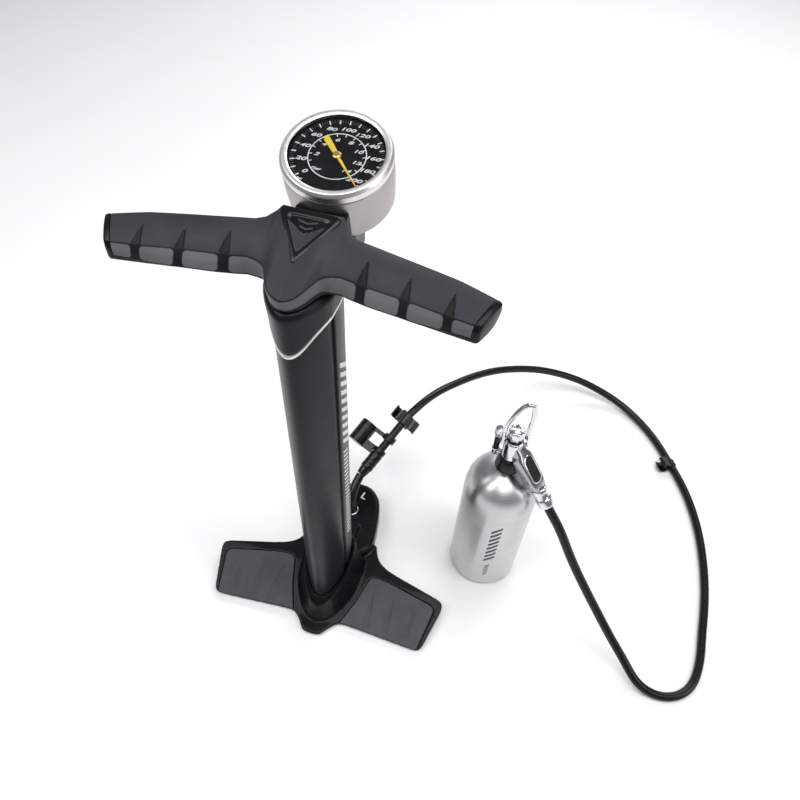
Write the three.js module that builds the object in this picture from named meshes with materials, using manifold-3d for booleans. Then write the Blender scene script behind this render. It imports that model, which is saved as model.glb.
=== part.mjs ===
// Floor pump for bicycles with its hose and the aluminium air bottle that the hose is locked to.
// Millimetres, +Z up, origin on the floor under the middle of the pump. The barrel's axis stands at y = AXIS_Y,
// and every place below is measured from that axis: +X to the rider's right, -Y towards the rider's toes.
import * as THREE from 'three';
import { mergeVertices } from 'three/addons/utils/BufferGeometryUtils.js';
import Module from 'manifold-3d';

const wasm = await Module();
wasm.setup();

// ---------------------------------------------------------------- driving dimensions
const AXIS_Y = -35;
const GAP = 0.3;
const ROUND = 18;

const FOOT = { underside: 2.5, socketFloor: 12, postY: 92, deck: 32 };
const BARREL = { bottom: 12.3, top: 500, bore: 19.3, channelY: 25.2, channelR: 2.6 };
const CYLINDER = { outer: 19, inner: 17.5, bottom: 20.4, top: 478 };
const CAP = { bottom: 462, top: 520 };
const HUB = { bottom: 520.5, rear: 36, front: -35 };
const WING = { root: 40, tip: 144, bottom: 521.5, inner: 18 };
const ROD = { r: 6, bottom: 46, top: 534 };
const GAUGE = { y: 96.2, z: 524.2, tilt: 0.24, r: 42, height: 49.6 };
const HOSE = { r: 5.2, bore: 6 };
const BOTTLE = { x: 179, y: 97.5, r: 42, neckR: 8.5, neckTop: 218 };
const HEAD = { z: 262, turn: -0.388, droop: 0.885 };

// ---------------------------------------------------------------- finishes
function finish(color, roughness, metalness) {
  return new THREE.MeshStandardMaterial({ color, roughness, metalness });
}
const BLACK = finish(0x151518, 0.5, 0);
const CHARCOAL = finish(0x3a3a40, 0.45, 0.6);
const GREY_RUBBER = finish(0x4a4d54, 0.8, 0);
const RUBBER = finish(0x101012, 0.9, 0);
const SILVER = finish(0xb8b5b2, 0.35, 1);
const CHROME = finish(0xe2e4e8, 0.1, 1);
const STEEL = finish(0xaeb0b4, 0.25, 1);
const BRASS = finish(0xc2a04c, 0.3, 1);
const YELLOW = finish(0xe6cf2e, 0.5, 0);
const GLASS = finish(0xd8e4ea, 0.05, 0);

// ---------------------------------------------------------------- solids from three.js geometries
function solid(geometry, matrix) {
  const bare = geometry.index ? geometry.toNonIndexed() : geometry.clone();
  const points = new THREE.BufferGeometry().setAttribute('position', bare.getAttribute('position'));
  if (matrix) points.applyMatrix4(matrix);
  const merged = mergeVertices(points, 1e-4);
  return new wasm.Manifold(new wasm.Mesh({
    numProp: 3,
    vertProperties: merged.getAttribute('position').array,
    triVerts: new Uint32Array(merged.index.array),
  }));
}

const move = (x, y, z) => new THREE.Matrix4().makeTranslation(x, y, z);
const turnX = (a) => new THREE.Matrix4().makeRotationX(a);
const turnY = (a) => new THREE.Matrix4().makeRotationY(a);
const turnZ = (a) => new THREE.Matrix4().makeRotationZ(a);
const chain = (...matrices) => matrices.reduce((all, m) => all.multiply(m), new THREE.Matrix4());

// A shape drawn in X and Y, raised along Z from one height to another. taper(t) gives the growth of the
// outline in millimetres at each share of the height.
function raise(shape, low, high, options = {}) {
  const { steps = 1, taper, curveSegments = 4, place } = options;
  const geometry = new THREE.ExtrudeGeometry(shape, {
    depth: high - low, steps, curveSegments, bevelEnabled: false,
  });
  if (taper) {
    const position = geometry.getAttribute('position');
    geometry.computeBoundingBox();
    const { min, max } = geometry.boundingBox;
    const halfX = (max.x - min.x) / 2;
    const halfY = (max.y - min.y) / 2;
    const midX = (max.x + min.x) / 2;
    const midY = (max.y + min.y) / 2;
    for (let i = 0; i < position.count; i += 1) {
      const grow = taper(position.getZ(i) / (high - low));
      position.setX(i, midX + (position.getX(i) - midX) * (1 + grow / halfX));
      position.setY(i, midY + (position.getY(i) - midY) * (1 + grow / halfY));
    }
  }
  geometry.translate(0, 0, low);
  return solid(geometry, place);
}

// A side view drawn as [y, z] corners, as thick as the X range says.
function slab(corners, lowX, highX) {
  const shape = new THREE.Shape(corners.map(([y, z]) => new THREE.Vector2(y, z)));
  const geometry = new THREE.ExtrudeGeometry(shape, { depth: highX - lowX, bevelEnabled: false });
  const across = new THREE.Matrix4().set(0, 0, 1, lowX, 1, 0, 0, 0, 0, 1, 0, 0, 0, 0, 0, 1);
  return solid(geometry, across);
}

// A profile of [radius, height] corners turned about the Z axis.
function turned(profile, segments = ROUND, place = new THREE.Matrix4()) {
  const points = profile.map(([r, z]) => new THREE.Vector2(r, z));
  const upright = new THREE.Matrix4().makeRotationX(Math.PI / 2);
  return solid(new THREE.LatheGeometry(points, segments), place.clone().multiply(upright));
}

const disc = (r, low, high, segments = ROUND, place) =>
  turned([[0, low], [r, low], [r, high], [0, high]], segments, place);

function ring(outer, inner, low, high, segments = ROUND, place = undefined) {
  return turned([[inner, low], [outer, low], [outer, high], [inner, high], [inner, low]], segments, place);
}

function oRing(middle, thick, z, segments = ROUND, place = undefined) {
  const sides = 6;
  const profile = [];
  for (let i = 0; i <= sides; i += 1) {
    const a = (-2 * Math.PI * i) / sides;
    profile.push([middle + thick * Math.cos(a), z - thick * Math.sin(a)]);
  }
  return turned(profile, segments, place);
}

// A round bar along a smooth curve through the points.
function bar(points, r, steps, sides = 12, place = undefined) {
  const curve = new THREE.CatmullRomCurve3(points.map((p) => new THREE.Vector3(...p)), false, 'centripetal');
  const section = new THREE.Shape();
  for (let i = 0; i < sides; i += 1) {
    const a = (2 * Math.PI * i) / sides;
    if (i === 0) section.moveTo(r, 0);
    else section.lineTo(r * Math.cos(a), r * Math.sin(a));
  }
  return solid(new THREE.ExtrudeGeometry(section, { steps, extrudePath: curve, bevelEnabled: false }), place);
}

function box(low, high, place) {
  const size = high.map((v, i) => v - low[i]);
  const middle = high.map((v, i) => (v + low[i]) / 2);
  const geometry = new THREE.BoxGeometry(...size).translate(...middle);
  return solid(geometry, place);
}

function roundedRectangle(halfX, halfY, corner) {
  const shape = new THREE.Shape();
  shape.moveTo(-halfX + corner, -halfY);
  shape.lineTo(halfX - corner, -halfY);
  shape.absarc(halfX - corner, -halfY + corner, corner, -Math.PI / 2, 0);
  shape.lineTo(halfX, halfY - corner);
  shape.absarc(halfX - corner, halfY - corner, corner, 0, Math.PI / 2);
  shape.lineTo(-halfX + corner, halfY);
  shape.absarc(-halfX + corner, halfY - corner, corner, Math.PI / 2, Math.PI);
  shape.lineTo(-halfX, -halfY + corner);
  shape.absarc(-halfX + corner, -halfY + corner, corner, Math.PI, Math.PI * 1.5);
  return shape;
}

// A closed outline from its right half, listed from front to rear. Corners are cut by short curves.
function mirrored(half, soften = 0) {
  const left = half.filter(([x]) => x > 0.01).map(([x, y]) => [-x, y]).reverse();
  const corners = [...half, ...left].map(([x, y]) => new THREE.Vector2(x, y));
  return softened(corners, soften);
}

function softened(corners, soften) {
  const shape = new THREE.Shape();
  const count = corners.length;
  corners.forEach((corner, i) => {
    const before = corners[(i + count - 1) % count];
    const after = corners[(i + 1) % count];
    const cutIn = Math.min(soften, corner.distanceTo(before) * 0.45);
    const cutOut = Math.min(soften, corner.distanceTo(after) * 0.45);
    const start = corner.clone().lerp(before, cutIn / corner.distanceTo(before));
    const end = corner.clone().lerp(after, cutOut / corner.distanceTo(after));
    if (i === 0) shape.moveTo(start.x, start.y);
    else shape.lineTo(start.x, start.y);
    if (soften > 0) shape.quadraticCurveTo(corner.x, corner.y, end.x, end.y);
  });
  shape.closePath();
  return shape;
}

const all = (first, ...rest) => rest.reduce((sum, s) => sum.add(s), first);
const cut = (first, ...rest) => rest.reduce((left, s) => left.subtract(s), first);

const part = new THREE.Group();
const pump = new THREE.Group();
pump.position.set(0, AXIS_Y, 0);
part.add(pump);

function piece(name, body, material) {
  const made = body.getMesh();
  const stride = made.numProp;
  const position = new Float32Array(made.numVert * 3);
  for (let i = 0; i < made.numVert; i += 1) {
    position.set(made.vertProperties.subarray(i * stride, i * stride + 3), i * 3);
  }
  const geometry = new THREE.BufferGeometry();
  geometry.setAttribute('position', new THREE.BufferAttribute(position, 3));
  geometry.setIndex(new THREE.BufferAttribute(new Uint32Array(made.triVerts), 1));
  const mesh = new THREE.Mesh(geometry, material);
  mesh.name = name;
  pump.add(mesh);
}

// ---------------------------------------------------------------- barrel outline
// An aluminium extrusion: a blunt prow at the front, a groove and a flat on each side, a flat back.
const BARREL_HALF = { x: 24.8, front: -32.7, rear: 30.5 };

function barrelOutline(grow = 0, grooved = false) {
  const sx = (BARREL_HALF.x + grow) / BARREL_HALF.x;
  const length = BARREL_HALF.rear - BARREL_HALF.front;
  const sy = (length + 2 * grow) / length;
  const middle = (BARREL_HALF.rear + BARREL_HALF.front) / 2;
  const put = (x, y) => [x * sx, middle + (y - middle) * sy];
  const shape = new THREE.Shape();
  const line = (side, x, y) => shape.lineTo(...put(side * x, y));
  const curve = (side, a, b, c, d) => shape.quadraticCurveTo(...put(side * a, b), ...put(side * c, d));
  shape.moveTo(...put(0, -32.7));
  shape.bezierCurveTo(...put(6, -32.7), ...put(12, -26), ...put(17, -17.5));
  curve(1, 21, -10.5, 22.9, -4);
  if (grooved) {
    line(1, 21.6, -3.4);
    line(1, 21.9, 3.2);
    line(1, 24, 4);
  }
  curve(1, 24.8, 8, 24.8, 14);
  line(1, 24.2, 22);
  curve(1, 23.6, 30.5, 17, 30.5);
  line(-1, 17, 30.5);
  curve(-1, 23.6, 30.5, 24.2, 22);
  line(-1, 24.8, 14);
  curve(-1, 24.8, 8, grooved ? 24 : 24.2, grooved ? 4 : 3);
  if (grooved) {
    line(-1, 21.9, 3.2);
    line(-1, 21.6, -3.4);
  }
  line(-1, 22.9, -4);
  curve(-1, 21, -10.5, 17, -17.5);
  shape.bezierCurveTo(...put(-12, -26), ...put(-6, -32.7), ...put(0, -32.7));
  return shape;
}

// ---------------------------------------------------------------- foot
// The height of the treads: low at the front edge, higher at the back.
const TREAD = [[-80, 7.5], [-50, 7.5], [14, 19], [60, 22]];
const COLLAR_TOP = [[-70, 8], [-35.5, 37], [-3, 61], [24, 80], [36, 82]];

function underLine(line, floor, drop = 0) {
  const top = line.map(([y, z]) => [y, z + drop]);
  return [[line[0][0], floor], [line[line.length - 1][0], floor], ...top.reverse()];
}

function footPlan() {
  return mirrored([
    [0, -68], [11, -67], [17, -58], [27, -47.5], [36, -46], [133, -52.5], [148, 10], [69, 30.5],
    [56, 38], [48, 50], [46, 60], [0, 60],
  ], 9);
}

function padPlan(grow) {
  const g = grow;
  return softened([
    [25 - g, -60], [126 + g, -66], [138 + g, 1.5 + g], [70, 16 + g], [51 - g, 17 + g], [42 - g, -18],
  ].map(([x, y]) => new THREE.Vector2(x, y)), 8);
}

function lobePlan(grow) {
  const g = grow;
  return mirrored([
    [0, 20], [25 + g, 34], [37 + g, 46], [39 + g, 60], [36 + g, 86], [32.5 + g, 108], [27 + g, 121 + g],
    [15, 134 + g], [0, 136 + g],
  ], 7);
}

function padSlab(low, high) {
  const bottom = TREAD.map(([y, z]) => [y, z + low]);
  const top = TREAD.map(([y, z]) => [y, z + high]).reverse();
  return slab([...bottom, ...top], 20, 160);
}

function pad(grow, low, high) {
  const whole = raise(padPlan(grow), 0, 60, { curveSegments: 3 }).intersect(padSlab(low, high));
  return grow > 0 ? whole : whole.intersect(raise(footPlan(), 0, 60, { curveSegments: 3 }));
}

const mirror = new THREE.Matrix4().makeScale(-1, 1, 1);

function mirroredSolid(body) {
  return body.transform(mirror.elements.slice(0, 16));
}

const FEET = { left: [-122, -22], right: [122, -22], front: [0, -50], rear: [0, 112] };

function foot() {
  const treads = raise(footPlan(), FOOT.underside, 60, { curveSegments: 3 })
    .intersect(slab(underLine(TREAD, 0), -160, 160));
  const lobe = all(
    raise(lobePlan(2), FOOT.underside, 27, { curveSegments: 2 }),
    raise(lobePlan(2), 27, FOOT.deck, { steps: 3, curveSegments: 2, taper: (t) => -4.5 * t * t }),
  );
  const collar = raise(barrelOutline(0), FOOT.underside, 90, {
    steps: 6, curveSegments: 3, taper: (t) => 4.5 + 19 * (1 - t) ** 3,
  }).intersect(slab(underLine(COLLAR_TOP, 0), -60, 60));
  const saddle = slab([[20, 3], [86, 3], [76, FOOT.deck], [52, 44], [36, 70], [20, 70]], -17, 17);
  let body = all(treads, lobe, collar, saddle);
  body = cut(
    body,
    raise(barrelOutline(GAP), FOOT.socketFloor, 120),
    pad(GAP, -2.6, 40),
    mirroredSolid(pad(GAP, -2.6, 40)),
    disc(6.5, 4, 40, 16, move(0, FOOT.postY, 0)),
    disc(3.2, 4, 20, 12),
    disc(1.5, 4, 20, 12, move(0, BARREL.channelY, 0)),
    box([-3, 0, 4.5], [3, FOOT.postY, 9]),
  );
  Object.values(FEET).forEach(([x, y]) => {
    body = body.subtract(disc(8.3, -1, FOOT.underside + 2, ROUND, move(x, y, 0)));
  });
  return body;
}

piece('foot_base', foot(), BLACK);
piece('foot_pad_right', pad(0, -2.3, 0.6), GREY_RUBBER);
piece('foot_pad_left', mirroredSolid(pad(0, -2.3, 0.6)), GREY_RUBBER);
Object.entries(FEET).forEach(([where, [x, y]]) => {
  const profile = [[0, 0], [7, 0], [8, 1], [8, FOOT.underside + 1.7], [0, FOOT.underside + 1.7]];
  piece(`floor_foot_${where}`, turned(profile, 16, move(x, y, 0)), RUBBER);
});

// ---------------------------------------------------------------- barrel, cylinder and valve
const rearSlot = disc(BARREL.channelR, 0, 600, 12, move(0, BARREL.channelY, 0));

piece('barrel', cut(
  raise(barrelOutline(0, true), BARREL.bottom, BARREL.top),
  disc(BARREL.bore, 0, 600, 32),
  rearSlot,
), CHARCOAL);
piece('inner_cylinder', ring(CYLINDER.outer, CYLINDER.inner, CYLINDER.bottom, CYLINDER.top, 32), STEEL);

const PLUG = { seat: 24, spigot: 17.2, top: 33, chamber: 3.4, port: 1.6, groove: 26.5 };
piece('base_plug', cut(
  turned([
    [0, BARREL.bottom], [19, BARREL.bottom], [19, 20.1], [PLUG.spigot, 20.1],
    [PLUG.spigot, PLUG.groove - 1.6], [15.4, PLUG.groove - 1.6], [15.4, PLUG.groove + 1.6],
    [PLUG.spigot, PLUG.groove + 1.6], [PLUG.spigot, PLUG.top], [0, PLUG.top],
  ], 24),
  disc(PLUG.chamber, 10, PLUG.seat, 16),
  disc(PLUG.port, 20, 40, 12),
), BRASS);
piece('plug_seal', oRing(16.35, 0.8, PLUG.groove, 24), RUBBER);

const BALL = { r: 2.9, z: 20.6 };
piece('check_valve_ball', solid(new THREE.SphereGeometry(BALL.r, 12, 8), move(0, 0, BALL.z)), STEEL);

function coilSpring(r, wire, low, high, turns, perTurn = 9) {
  const points = [];
  for (let i = 0; i <= turns * perTurn; i += 1) {
    const a = (2 * Math.PI * i) / perTurn;
    const share = i / (turns * perTurn);
    points.push([r * Math.cos(a), r * Math.sin(a), low + wire + (high - low - 2 * wire) * share]);
  }
  return bar(points, wire, turns * perTurn, 5);
}
piece('check_valve_spring', coilSpring(2.4, 0.35, 10.2, BALL.z - BALL.r - 0.3, 4), STEEL);
piece('gauge_air_tube', ring(2.2, 1.2, BARREL.bottom, 508, 10, move(0, BARREL.channelY, 0)), STEEL);

// ---------------------------------------------------------------- top cap, trim and rod guide
// The cap's lower edge dips at the front and rises to the back.
const TRIM_LINE = [[-50, 464], [-33.5, 474.5], [-27, 483], [-19, 490.3], [-3, 494.8], [15, 499.2], [34, 503]];
const TRIM_HEIGHT = 3;

function belowTrim(drop) {
  const line = TRIM_LINE.map(([y, z]) => [y, z + drop]);
  const rear = line[line.length - 1][1];
  return slab([[-60, 400], [60, 400], [60, rear], ...line.reverse(), [-60, 460 + drop]], -60, 60);
}

const capShell = raise(barrelOutline(0), CAP.bottom, CAP.top, {
  steps: 5, taper: (t) => 1.6 + 2.6 * t * t,
});

piece('trim_ring', cut(
  raise(barrelOutline(1.9), CAP.bottom, CAP.top),
  raise(barrelOutline(GAP), 400, 600),
).subtract(belowTrim(0)).intersect(belowTrim(TRIM_HEIGHT)), SILVER);

const POD = { half: 20, front: 38.5, saddleTop: 549 };
const gaugePlace = chain(move(0, GAUGE.y, GAUGE.z), turnX(GAUGE.tilt));

piece('top_cap', cut(
  capShell,
  belowTrim(TRIM_HEIGHT + GAP),
  raise(barrelOutline(GAP), 400, BARREL.top + GAP),
  disc(11.3, 490, 600, 24),
  disc(2.6, 490, 600, 12, move(0, BARREL.channelY, 0)),
), CHARCOAL);

piece('gauge_pod', cut(
  all(
    slab([[POD.front, 480], [60, 478], [112, 500], [112, 540], [POD.front, 546]], -POD.half, POD.half)
      .intersect(disc(30, 470, 560, 32, move(0, 68.3, 0)))
      .intersect(turned([[0, 400], [60, 400], [60, 532], [44, 548], [0, 551]], 32, move(0, 84, 0))),
    slab([[70, 494], [118, 500], [118, 512], [70, 508]], -12, 12),
  ),
  disc(GAUGE.r + GAP, -0.4, 60, 40, gaugePlace),
  disc(6.3, -40, 20, 16, gaugePlace),
), BLACK);

piece('rod_guide', cut(
  turned([
    [0, 486], [17.2, 486], [17.2, 500], [11, 500], [11, CAP.top - 0.3], [0, CAP.top - 0.3],
  ], 24),
  disc(ROD.r + 0.4, 480, 600, 24),
), BRASS);

// ---------------------------------------------------------------- rod and piston
piece('rod', cut(
  disc(ROD.r, ROD.bottom, ROD.top, 24),
  disc(2.4, ROD.top - 22, ROD.top + 1, 12),
), CHROME);
const PISTON = { low: 37, high: 58, r: 16.9, groove: 45 };
piece('piston', cut(
  turned([
    [0, PISTON.low], [PISTON.r - 1, PISTON.low], [PISTON.r, PISTON.low + 1], [PISTON.r, PISTON.groove - 2],
    [14.6, PISTON.groove - 2], [14.6, PISTON.groove + 2], [PISTON.r, PISTON.groove + 2],
    [PISTON.r, 52], [10, PISTON.high], [0, PISTON.high],
  ], 24),
  disc(ROD.r + GAP, ROD.bottom - GAP, 80, 24),
), BLACK);
piece('piston_seal', oRing(16.2, 1.1, PISTON.groove, 24), RUBBER);
piece('rod_bumper', ring(10, ROD.r + 0.3, PISTON.high + 0.3, PISTON.high + 14, 24), RUBBER);

// ---------------------------------------------------------------- handle
// A wing runs from WING.root to WING.tip, and tapers and swings forwards on its way out. In its section,
// across runs from 0 at the front edge to 1 at the rear edge, and up is the height above the chord.
const wingFront = (t) => -12.3 - 9.4 * t;
const wingRear = (t) => 21.4 - 22 * t;
const wingFrontZ = (t) => 543.5 - 4 * t;
const wingRearZ = (t) => 550 - 5.7 * t;

function wing(side, corners, lowX, highX, steps = 4) {
  const shape = new THREE.Shape(corners.map(([across, up]) => new THREE.Vector2(across, up)));
  const geometry = new THREE.ExtrudeGeometry(shape, { depth: highX - lowX, steps, bevelEnabled: false });
  const position = geometry.getAttribute('position');
  for (let i = 0; i < position.count; i += 1) {
    const x = lowX + position.getZ(i);
    const t = (x - WING.root) / (WING.tip - WING.root);
    const across = position.getX(i);
    const y = wingFront(t) + (wingRear(t) - wingFront(t)) * across;
    const z = wingFrontZ(t) + (wingRearZ(t) - wingFrontZ(t)) * across + position.getY(i);
    position.setXYZ(i, x, y, Math.max(z, WING.bottom));
  }
  const right = solid(geometry);
  return side > 0 ? right : mirroredSolid(right);
}
const WING_SECTION = [
  [-0.2, -10], [-0.17, -13], [0.1, -18], [0.7, -21], [0.97, -12], [1, -1.8], [0.9, 0.6], [0.58, 3],
  [0.3, 2.4], [0, 0],
];
const SKIN_REGION = [[-0.6, -11.5], [-0.06, -11.5], [0.12, -8], [0.9, -6], [1.6, -6], [1.6, 20], [-0.6, 20]];

const HUB_TOP = [[HUB.front, 532], [-24, 538], [-9.6, 544.5], [27, 556], [33, 556], [HUB.rear, 550]];
const hubPlan = mirrored([
  [0, HUB.front], [6, -33.8], [11, -30], [16.5, -20], [20, -12.6], [28, -9.5], [32, -9], [32, 22], [27, 31],
  [20, HUB.rear],
  [0, HUB.rear],
], 4);
const EMBLEM = { front: -10, rear: 27.5, half: 23 };
const emblemPlan = (grow) => softened([
  new THREE.Vector2(0, EMBLEM.front - 1.8 * grow),
  new THREE.Vector2(EMBLEM.half + 1.6 * grow, EMBLEM.rear + grow),
  new THREE.Vector2(-EMBLEM.half - 1.6 * grow, EMBLEM.rear + grow),
], 2);
const emblemSlab = (low, high) => slab([
  [-20, 541.2 + low], [40, 560 + low], [40, 560 + high], [-20, 541.2 + high],
], -40, 40);

const hubBlock = raise(hubPlan, HUB.bottom, 570)
  .intersect(slab(underLine(HUB_TOP, 400), -60, 60));
// The plan outside a slanting line across each wing's tip.
function beyondTip(inset) {
  const plan = new THREE.Shape([[118.2, -60], [200, -60], [200, 30], [157.6, 30]].map(
    ([x, y]) => new THREE.Vector2(x - (x < 200 ? inset : 0), y),
  ));
  const right = raise(plan, 400, 600);
  return all(right, mirroredSolid(right));
}
const TIP_CAP = 5;
const handleWhole = cut(all(
  hubBlock,
  wing(1, WING_SECTION, WING.inner, 160),
  wing(-1, WING_SECTION, WING.inner, 160),
), beyondTip(0));
const rodSocket = disc(ROD.r + GAP, 500, ROD.top + GAP, 24);
const boltHole = disc(2.4, 530, 542, 12);
const boltPocket = disc(4.6, 540, 560, 16);
const skinRegion = wing(1, SKIN_REGION, 24, 170);
const hubRegion = slab([
  [-60, 523], [-30, 523], [-22, 528], [20, 541], [60, 546], [60, 600], [-60, 600],
], -24.1, 24.1);
const upper = all(skinRegion, mirroredSolid(skinRegion), hubRegion);

piece('handle_core', cut(
  handleWhole,
  upper.translate([0, 0, -0.15]),
  beyondTip(TIP_CAP),
  rodSocket,
  boltHole,
  boltPocket,
), BLACK);
piece('handle_skin', cut(
  handleWhole.intersect(upper.translate([0, 0, 0.15])),
  beyondTip(TIP_CAP),
  raise(emblemPlan(GAP), 500, 600).intersect(emblemSlab(-0.3, 40)),
  rodSocket,
  boltHole,
  boltPocket,
), GREY_RUBBER);
const endCap = handleWhole
  .intersect(beyondTip(TIP_CAP - GAP))
  .intersect(box([100, -60, 480], [170, 60, 600]));
piece('end_cap_right', endCap, BLACK);
piece('end_cap_left', mirroredSolid(endCap), BLACK);
piece('emblem_plate', raise(emblemPlan(0), 500, 600).intersect(emblemSlab(0, 2)), BLACK);
piece('handle_bolt', all(
  disc(2.1, ROD.top - 20, 541, 12),
  disc(4.2, 540.3, 544.8, 16),
), STEEL);

// ---------------------------------------------------------------- pressure gauge
const onGauge = (body) => body.transform(gaugePlace.elements.slice(0, 16));
const DIAL = { floor: 42.5, r: 37.5, lens: 46 };
piece('gauge_housing', onGauge(cut(
  turned([
    [0, 0], [38, 0], [GAUGE.r, 3], [GAUGE.r, 41], [40.2, 41], [40.2, 43], [38.4, 43], [38.4, 30], [0, 30],
  ], 40),
  disc(4, -5, 40, 16),
)), SILVER);
piece('gauge_bezel', onGauge(turned([
  [37.2, 48.5], [38.6, 48], [38.6, 43.3], [40.5, 43.3], [40.5, 41.3], [GAUGE.r, 41.3], [GAUGE.r, 47.2],
  [40.6, GAUGE.height], [38.9, GAUGE.height], [37.2, 48.5],
], 40)), CHROME);
piece('gauge_dial', onGauge(cut(disc(DIAL.r, DIAL.floor, DIAL.floor + 1, 40), disc(2.6, 30, 45, 12))), BLACK);
piece('gauge_lens', onGauge(disc(DIAL.r + 0.7, DIAL.lens, DIAL.lens + 1.7, 40)), GLASS);
piece('gauge_stem', onGauge(cut(
  all(disc(6, -14, -0.4, 16), disc(3.7, -1, 30.2, 16)),
  disc(1.2, -20, 26, 10),
)), BRASS);

function bourdonTube() {
  const points = [];
  for (let i = 0; i <= 10; i += 1) {
    const a = -0.5 * Math.PI + (1.45 * Math.PI * i) / 10;
    points.push([20 * Math.cos(a), 20 * Math.sin(a), 33.7]);
  }
  return bar(points, 2, 20, 8);
}
piece('bourdon_tube', onGauge(bourdonTube()), BRASS);

const NEEDLE_TURN = -2.41;
function needle() {
  const flat = new THREE.Shape([
    [-1, 33], [1, 33], [2.4, 0], [3, -17], [-3, -17], [-2.4, 0],
  ].reverse().map(([x, y]) => new THREE.Vector2(x, y)));
  return raise(flat, 44.6, 45.3, { place: turnZ(NEEDLE_TURN) });
}
piece('gauge_needle', onGauge(all(needle(), disc(3.6, 44.4, 45.7, 16), disc(1.9, 36.2, 45, 12))), YELLOW);

// ---------------------------------------------------------------- selector and hose outlet
const post = (body) => body.translate([0, FOOT.postY, 0]);
piece('selector_dial', post(all(
  ring(9.6, 6.9, FOOT.deck + 0.5, 38.5, 24),
  raise(roundedRectangle(8, 2.2, 2), 33, 37, { place: chain(turnZ(Math.PI * 1.15), move(15.5, 0, 0)) }),
)), CHROME);
piece('hose_post', post(cut(
  turned([[0, 9.3], [6.2, 9.3], [6.2, 39], [8.4, 39.3], [8.4, 42.5], [6.4, 44], [0, 44]], 18),
  disc(2.2, 5, 40, 10),
)), BLACK);

const OUTLET = [2.3, 125.4, 72.6];
const elbowRoute = [
  [0, FOOT.postY, 46.8], [-0.5, 94.5, 53], [-1.2, 101, 59.5], [-0.8, 110, 65.2], [0.7, 118.6, 69.5], OUTLET,
];
piece('hose_elbow', all(
  bar(elbowRoute, 6, 10, 12),
  disc(7.4, 44.3, 49, 20, move(0, FOOT.postY, 0)),
), BLACK);

// ---------------------------------------------------------------- hose
const HOSE_ROUTE = [
  [2.7, 126.2, 73], [14, 150.5, 83], [27.5, 179.5, 95], [41.5, 209.6, 107.5], [48, 221, 110.6], [58, 240, 111.5],
  [72, 264, 108.5], [88, 287, 102.5], [105, 310.5, 95], [123.5, 332.5, 87], [143, 352, 78.5],
  [170.5, 373.5, 67], [200, 391.5, 55], [231, 404.5, 42], [263, 411.5, 30],
  [297, 411, 18.5], [331, 402, 10], [363, 381, 6], [389.5, 352, 5.3], [411, 318.5, 5.3], [431, 285, 5.3],
  [446.5, 248, 5.3], [457, 210, 5.3], [463, 173, 5.3], [466, 137.5, 5.3], [466, 102.5, 5.3], [464, 68.5, 5.3],
  [462.5, 36, 5.3], [455, 4.5, 5.3], [441, -12.5, 5.3], [423, -20.5, 5.5], [404.5, -20.5, 6.8],
  [386.5, -13.5, 11], [368, 3, 22], [345.5, 17, 42.5], [321.5, 31, 69], [297.5, 43.5, 98.5], [274.5, 55, 130],
  [252.3, 67.5, 165.3], [237.6, 73.5, 184.6], [223.8, 79.1, 202.8],
];
piece('hose', bar(HOSE_ROUTE, HOSE.r, 66, 8), RUBBER);

// ---------------------------------------------------------------- pieces on the hose
// Places a piece drawn along +Z at a point of the route, lying along the route there. spin turns it about it.
function along(from, to, spin = 0) {
  const a = new THREE.Vector3(...from);
  const b = new THREE.Vector3(...to);
  const direction = b.clone().sub(a).normalize();
  const side = new THREE.Vector3(0, 0, 1).cross(direction).normalize();
  const over = direction.clone().cross(side);
  const basis = new THREE.Matrix4().makeBasis(side, over, direction).setPosition(a);
  return basis.multiply(turnZ(spin));
}

const STRAIGHT = along([3.9, 128.8, 74], [40.9, 208.4, 107]);
const upHose = (distance, spin = 0) => chain(STRAIGHT, move(0, 0, distance), turnZ(spin));

piece('hose_sleeve', cut(
  all(
    turned([[0, -1], [6.9, -1], [7.4, 6], [8.4, 7.5], [8.4, 29], [7.6, 31], [0, 31]], ROUND, STRAIGHT),
    disc(2.6, 5, 11.5, 10, chain(upHose(4), turnX(Math.PI / 2))),
  ),
  disc(HOSE.bore, -4, 40, 16, STRAIGHT),
), BLACK);

const CUP = { r: 12, wall: 2.2, out: 35, low: -16, high: 16 };
const HOLDER = upHose(42);
const cupAt = chain(HOLDER, move(CUP.out, 0, 0));
piece('head_holder', cut(
  all(
    disc(8.6, -10.7, -4, 16, HOLDER),
    disc(8.6, 9, 18, 16, HOLDER),
    box([5, -3, -10.7], [CUP.out, 3, -4], HOLDER),
    box([10, -3, CUP.low], [CUP.out, 3, -4], HOLDER),
    box([5, -3, 10.5], [CUP.out, 3, 16], HOLDER),
    disc(CUP.r, CUP.low, CUP.high, 16, cupAt),
  ),
  disc(HOSE.bore, -40, 30, 16, HOLDER),
  disc(CUP.r - CUP.wall, CUP.low + 2.5, 20, 16, cupAt),
), BLACK);

// An open hook beside the hose: a ring with a slot, in the plane across the hose.
function hook(place, reach, openAngle) {
  const at = chain(place, move(reach, 0, 0));
  return cut(
    ring(8.6, 6.2, -8, 8, 14, at),
    box([0, -4.2, -9], [12, 4.2, 9], chain(at, turnZ(openAngle))),
  );
}
const X_CLIP = upHose(89, 1);
piece('hose_x_clip', cut(
  all(
    disc(8, -8, 8, 16, X_CLIP),
    hook(X_CLIP, 14, 0.6),
    hook(chain(X_CLIP, turnZ(Math.PI)), 14, 0.6),
  ),
  disc(HOSE.bore, -20, 20, 16, X_CLIP),
), BLACK);

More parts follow.
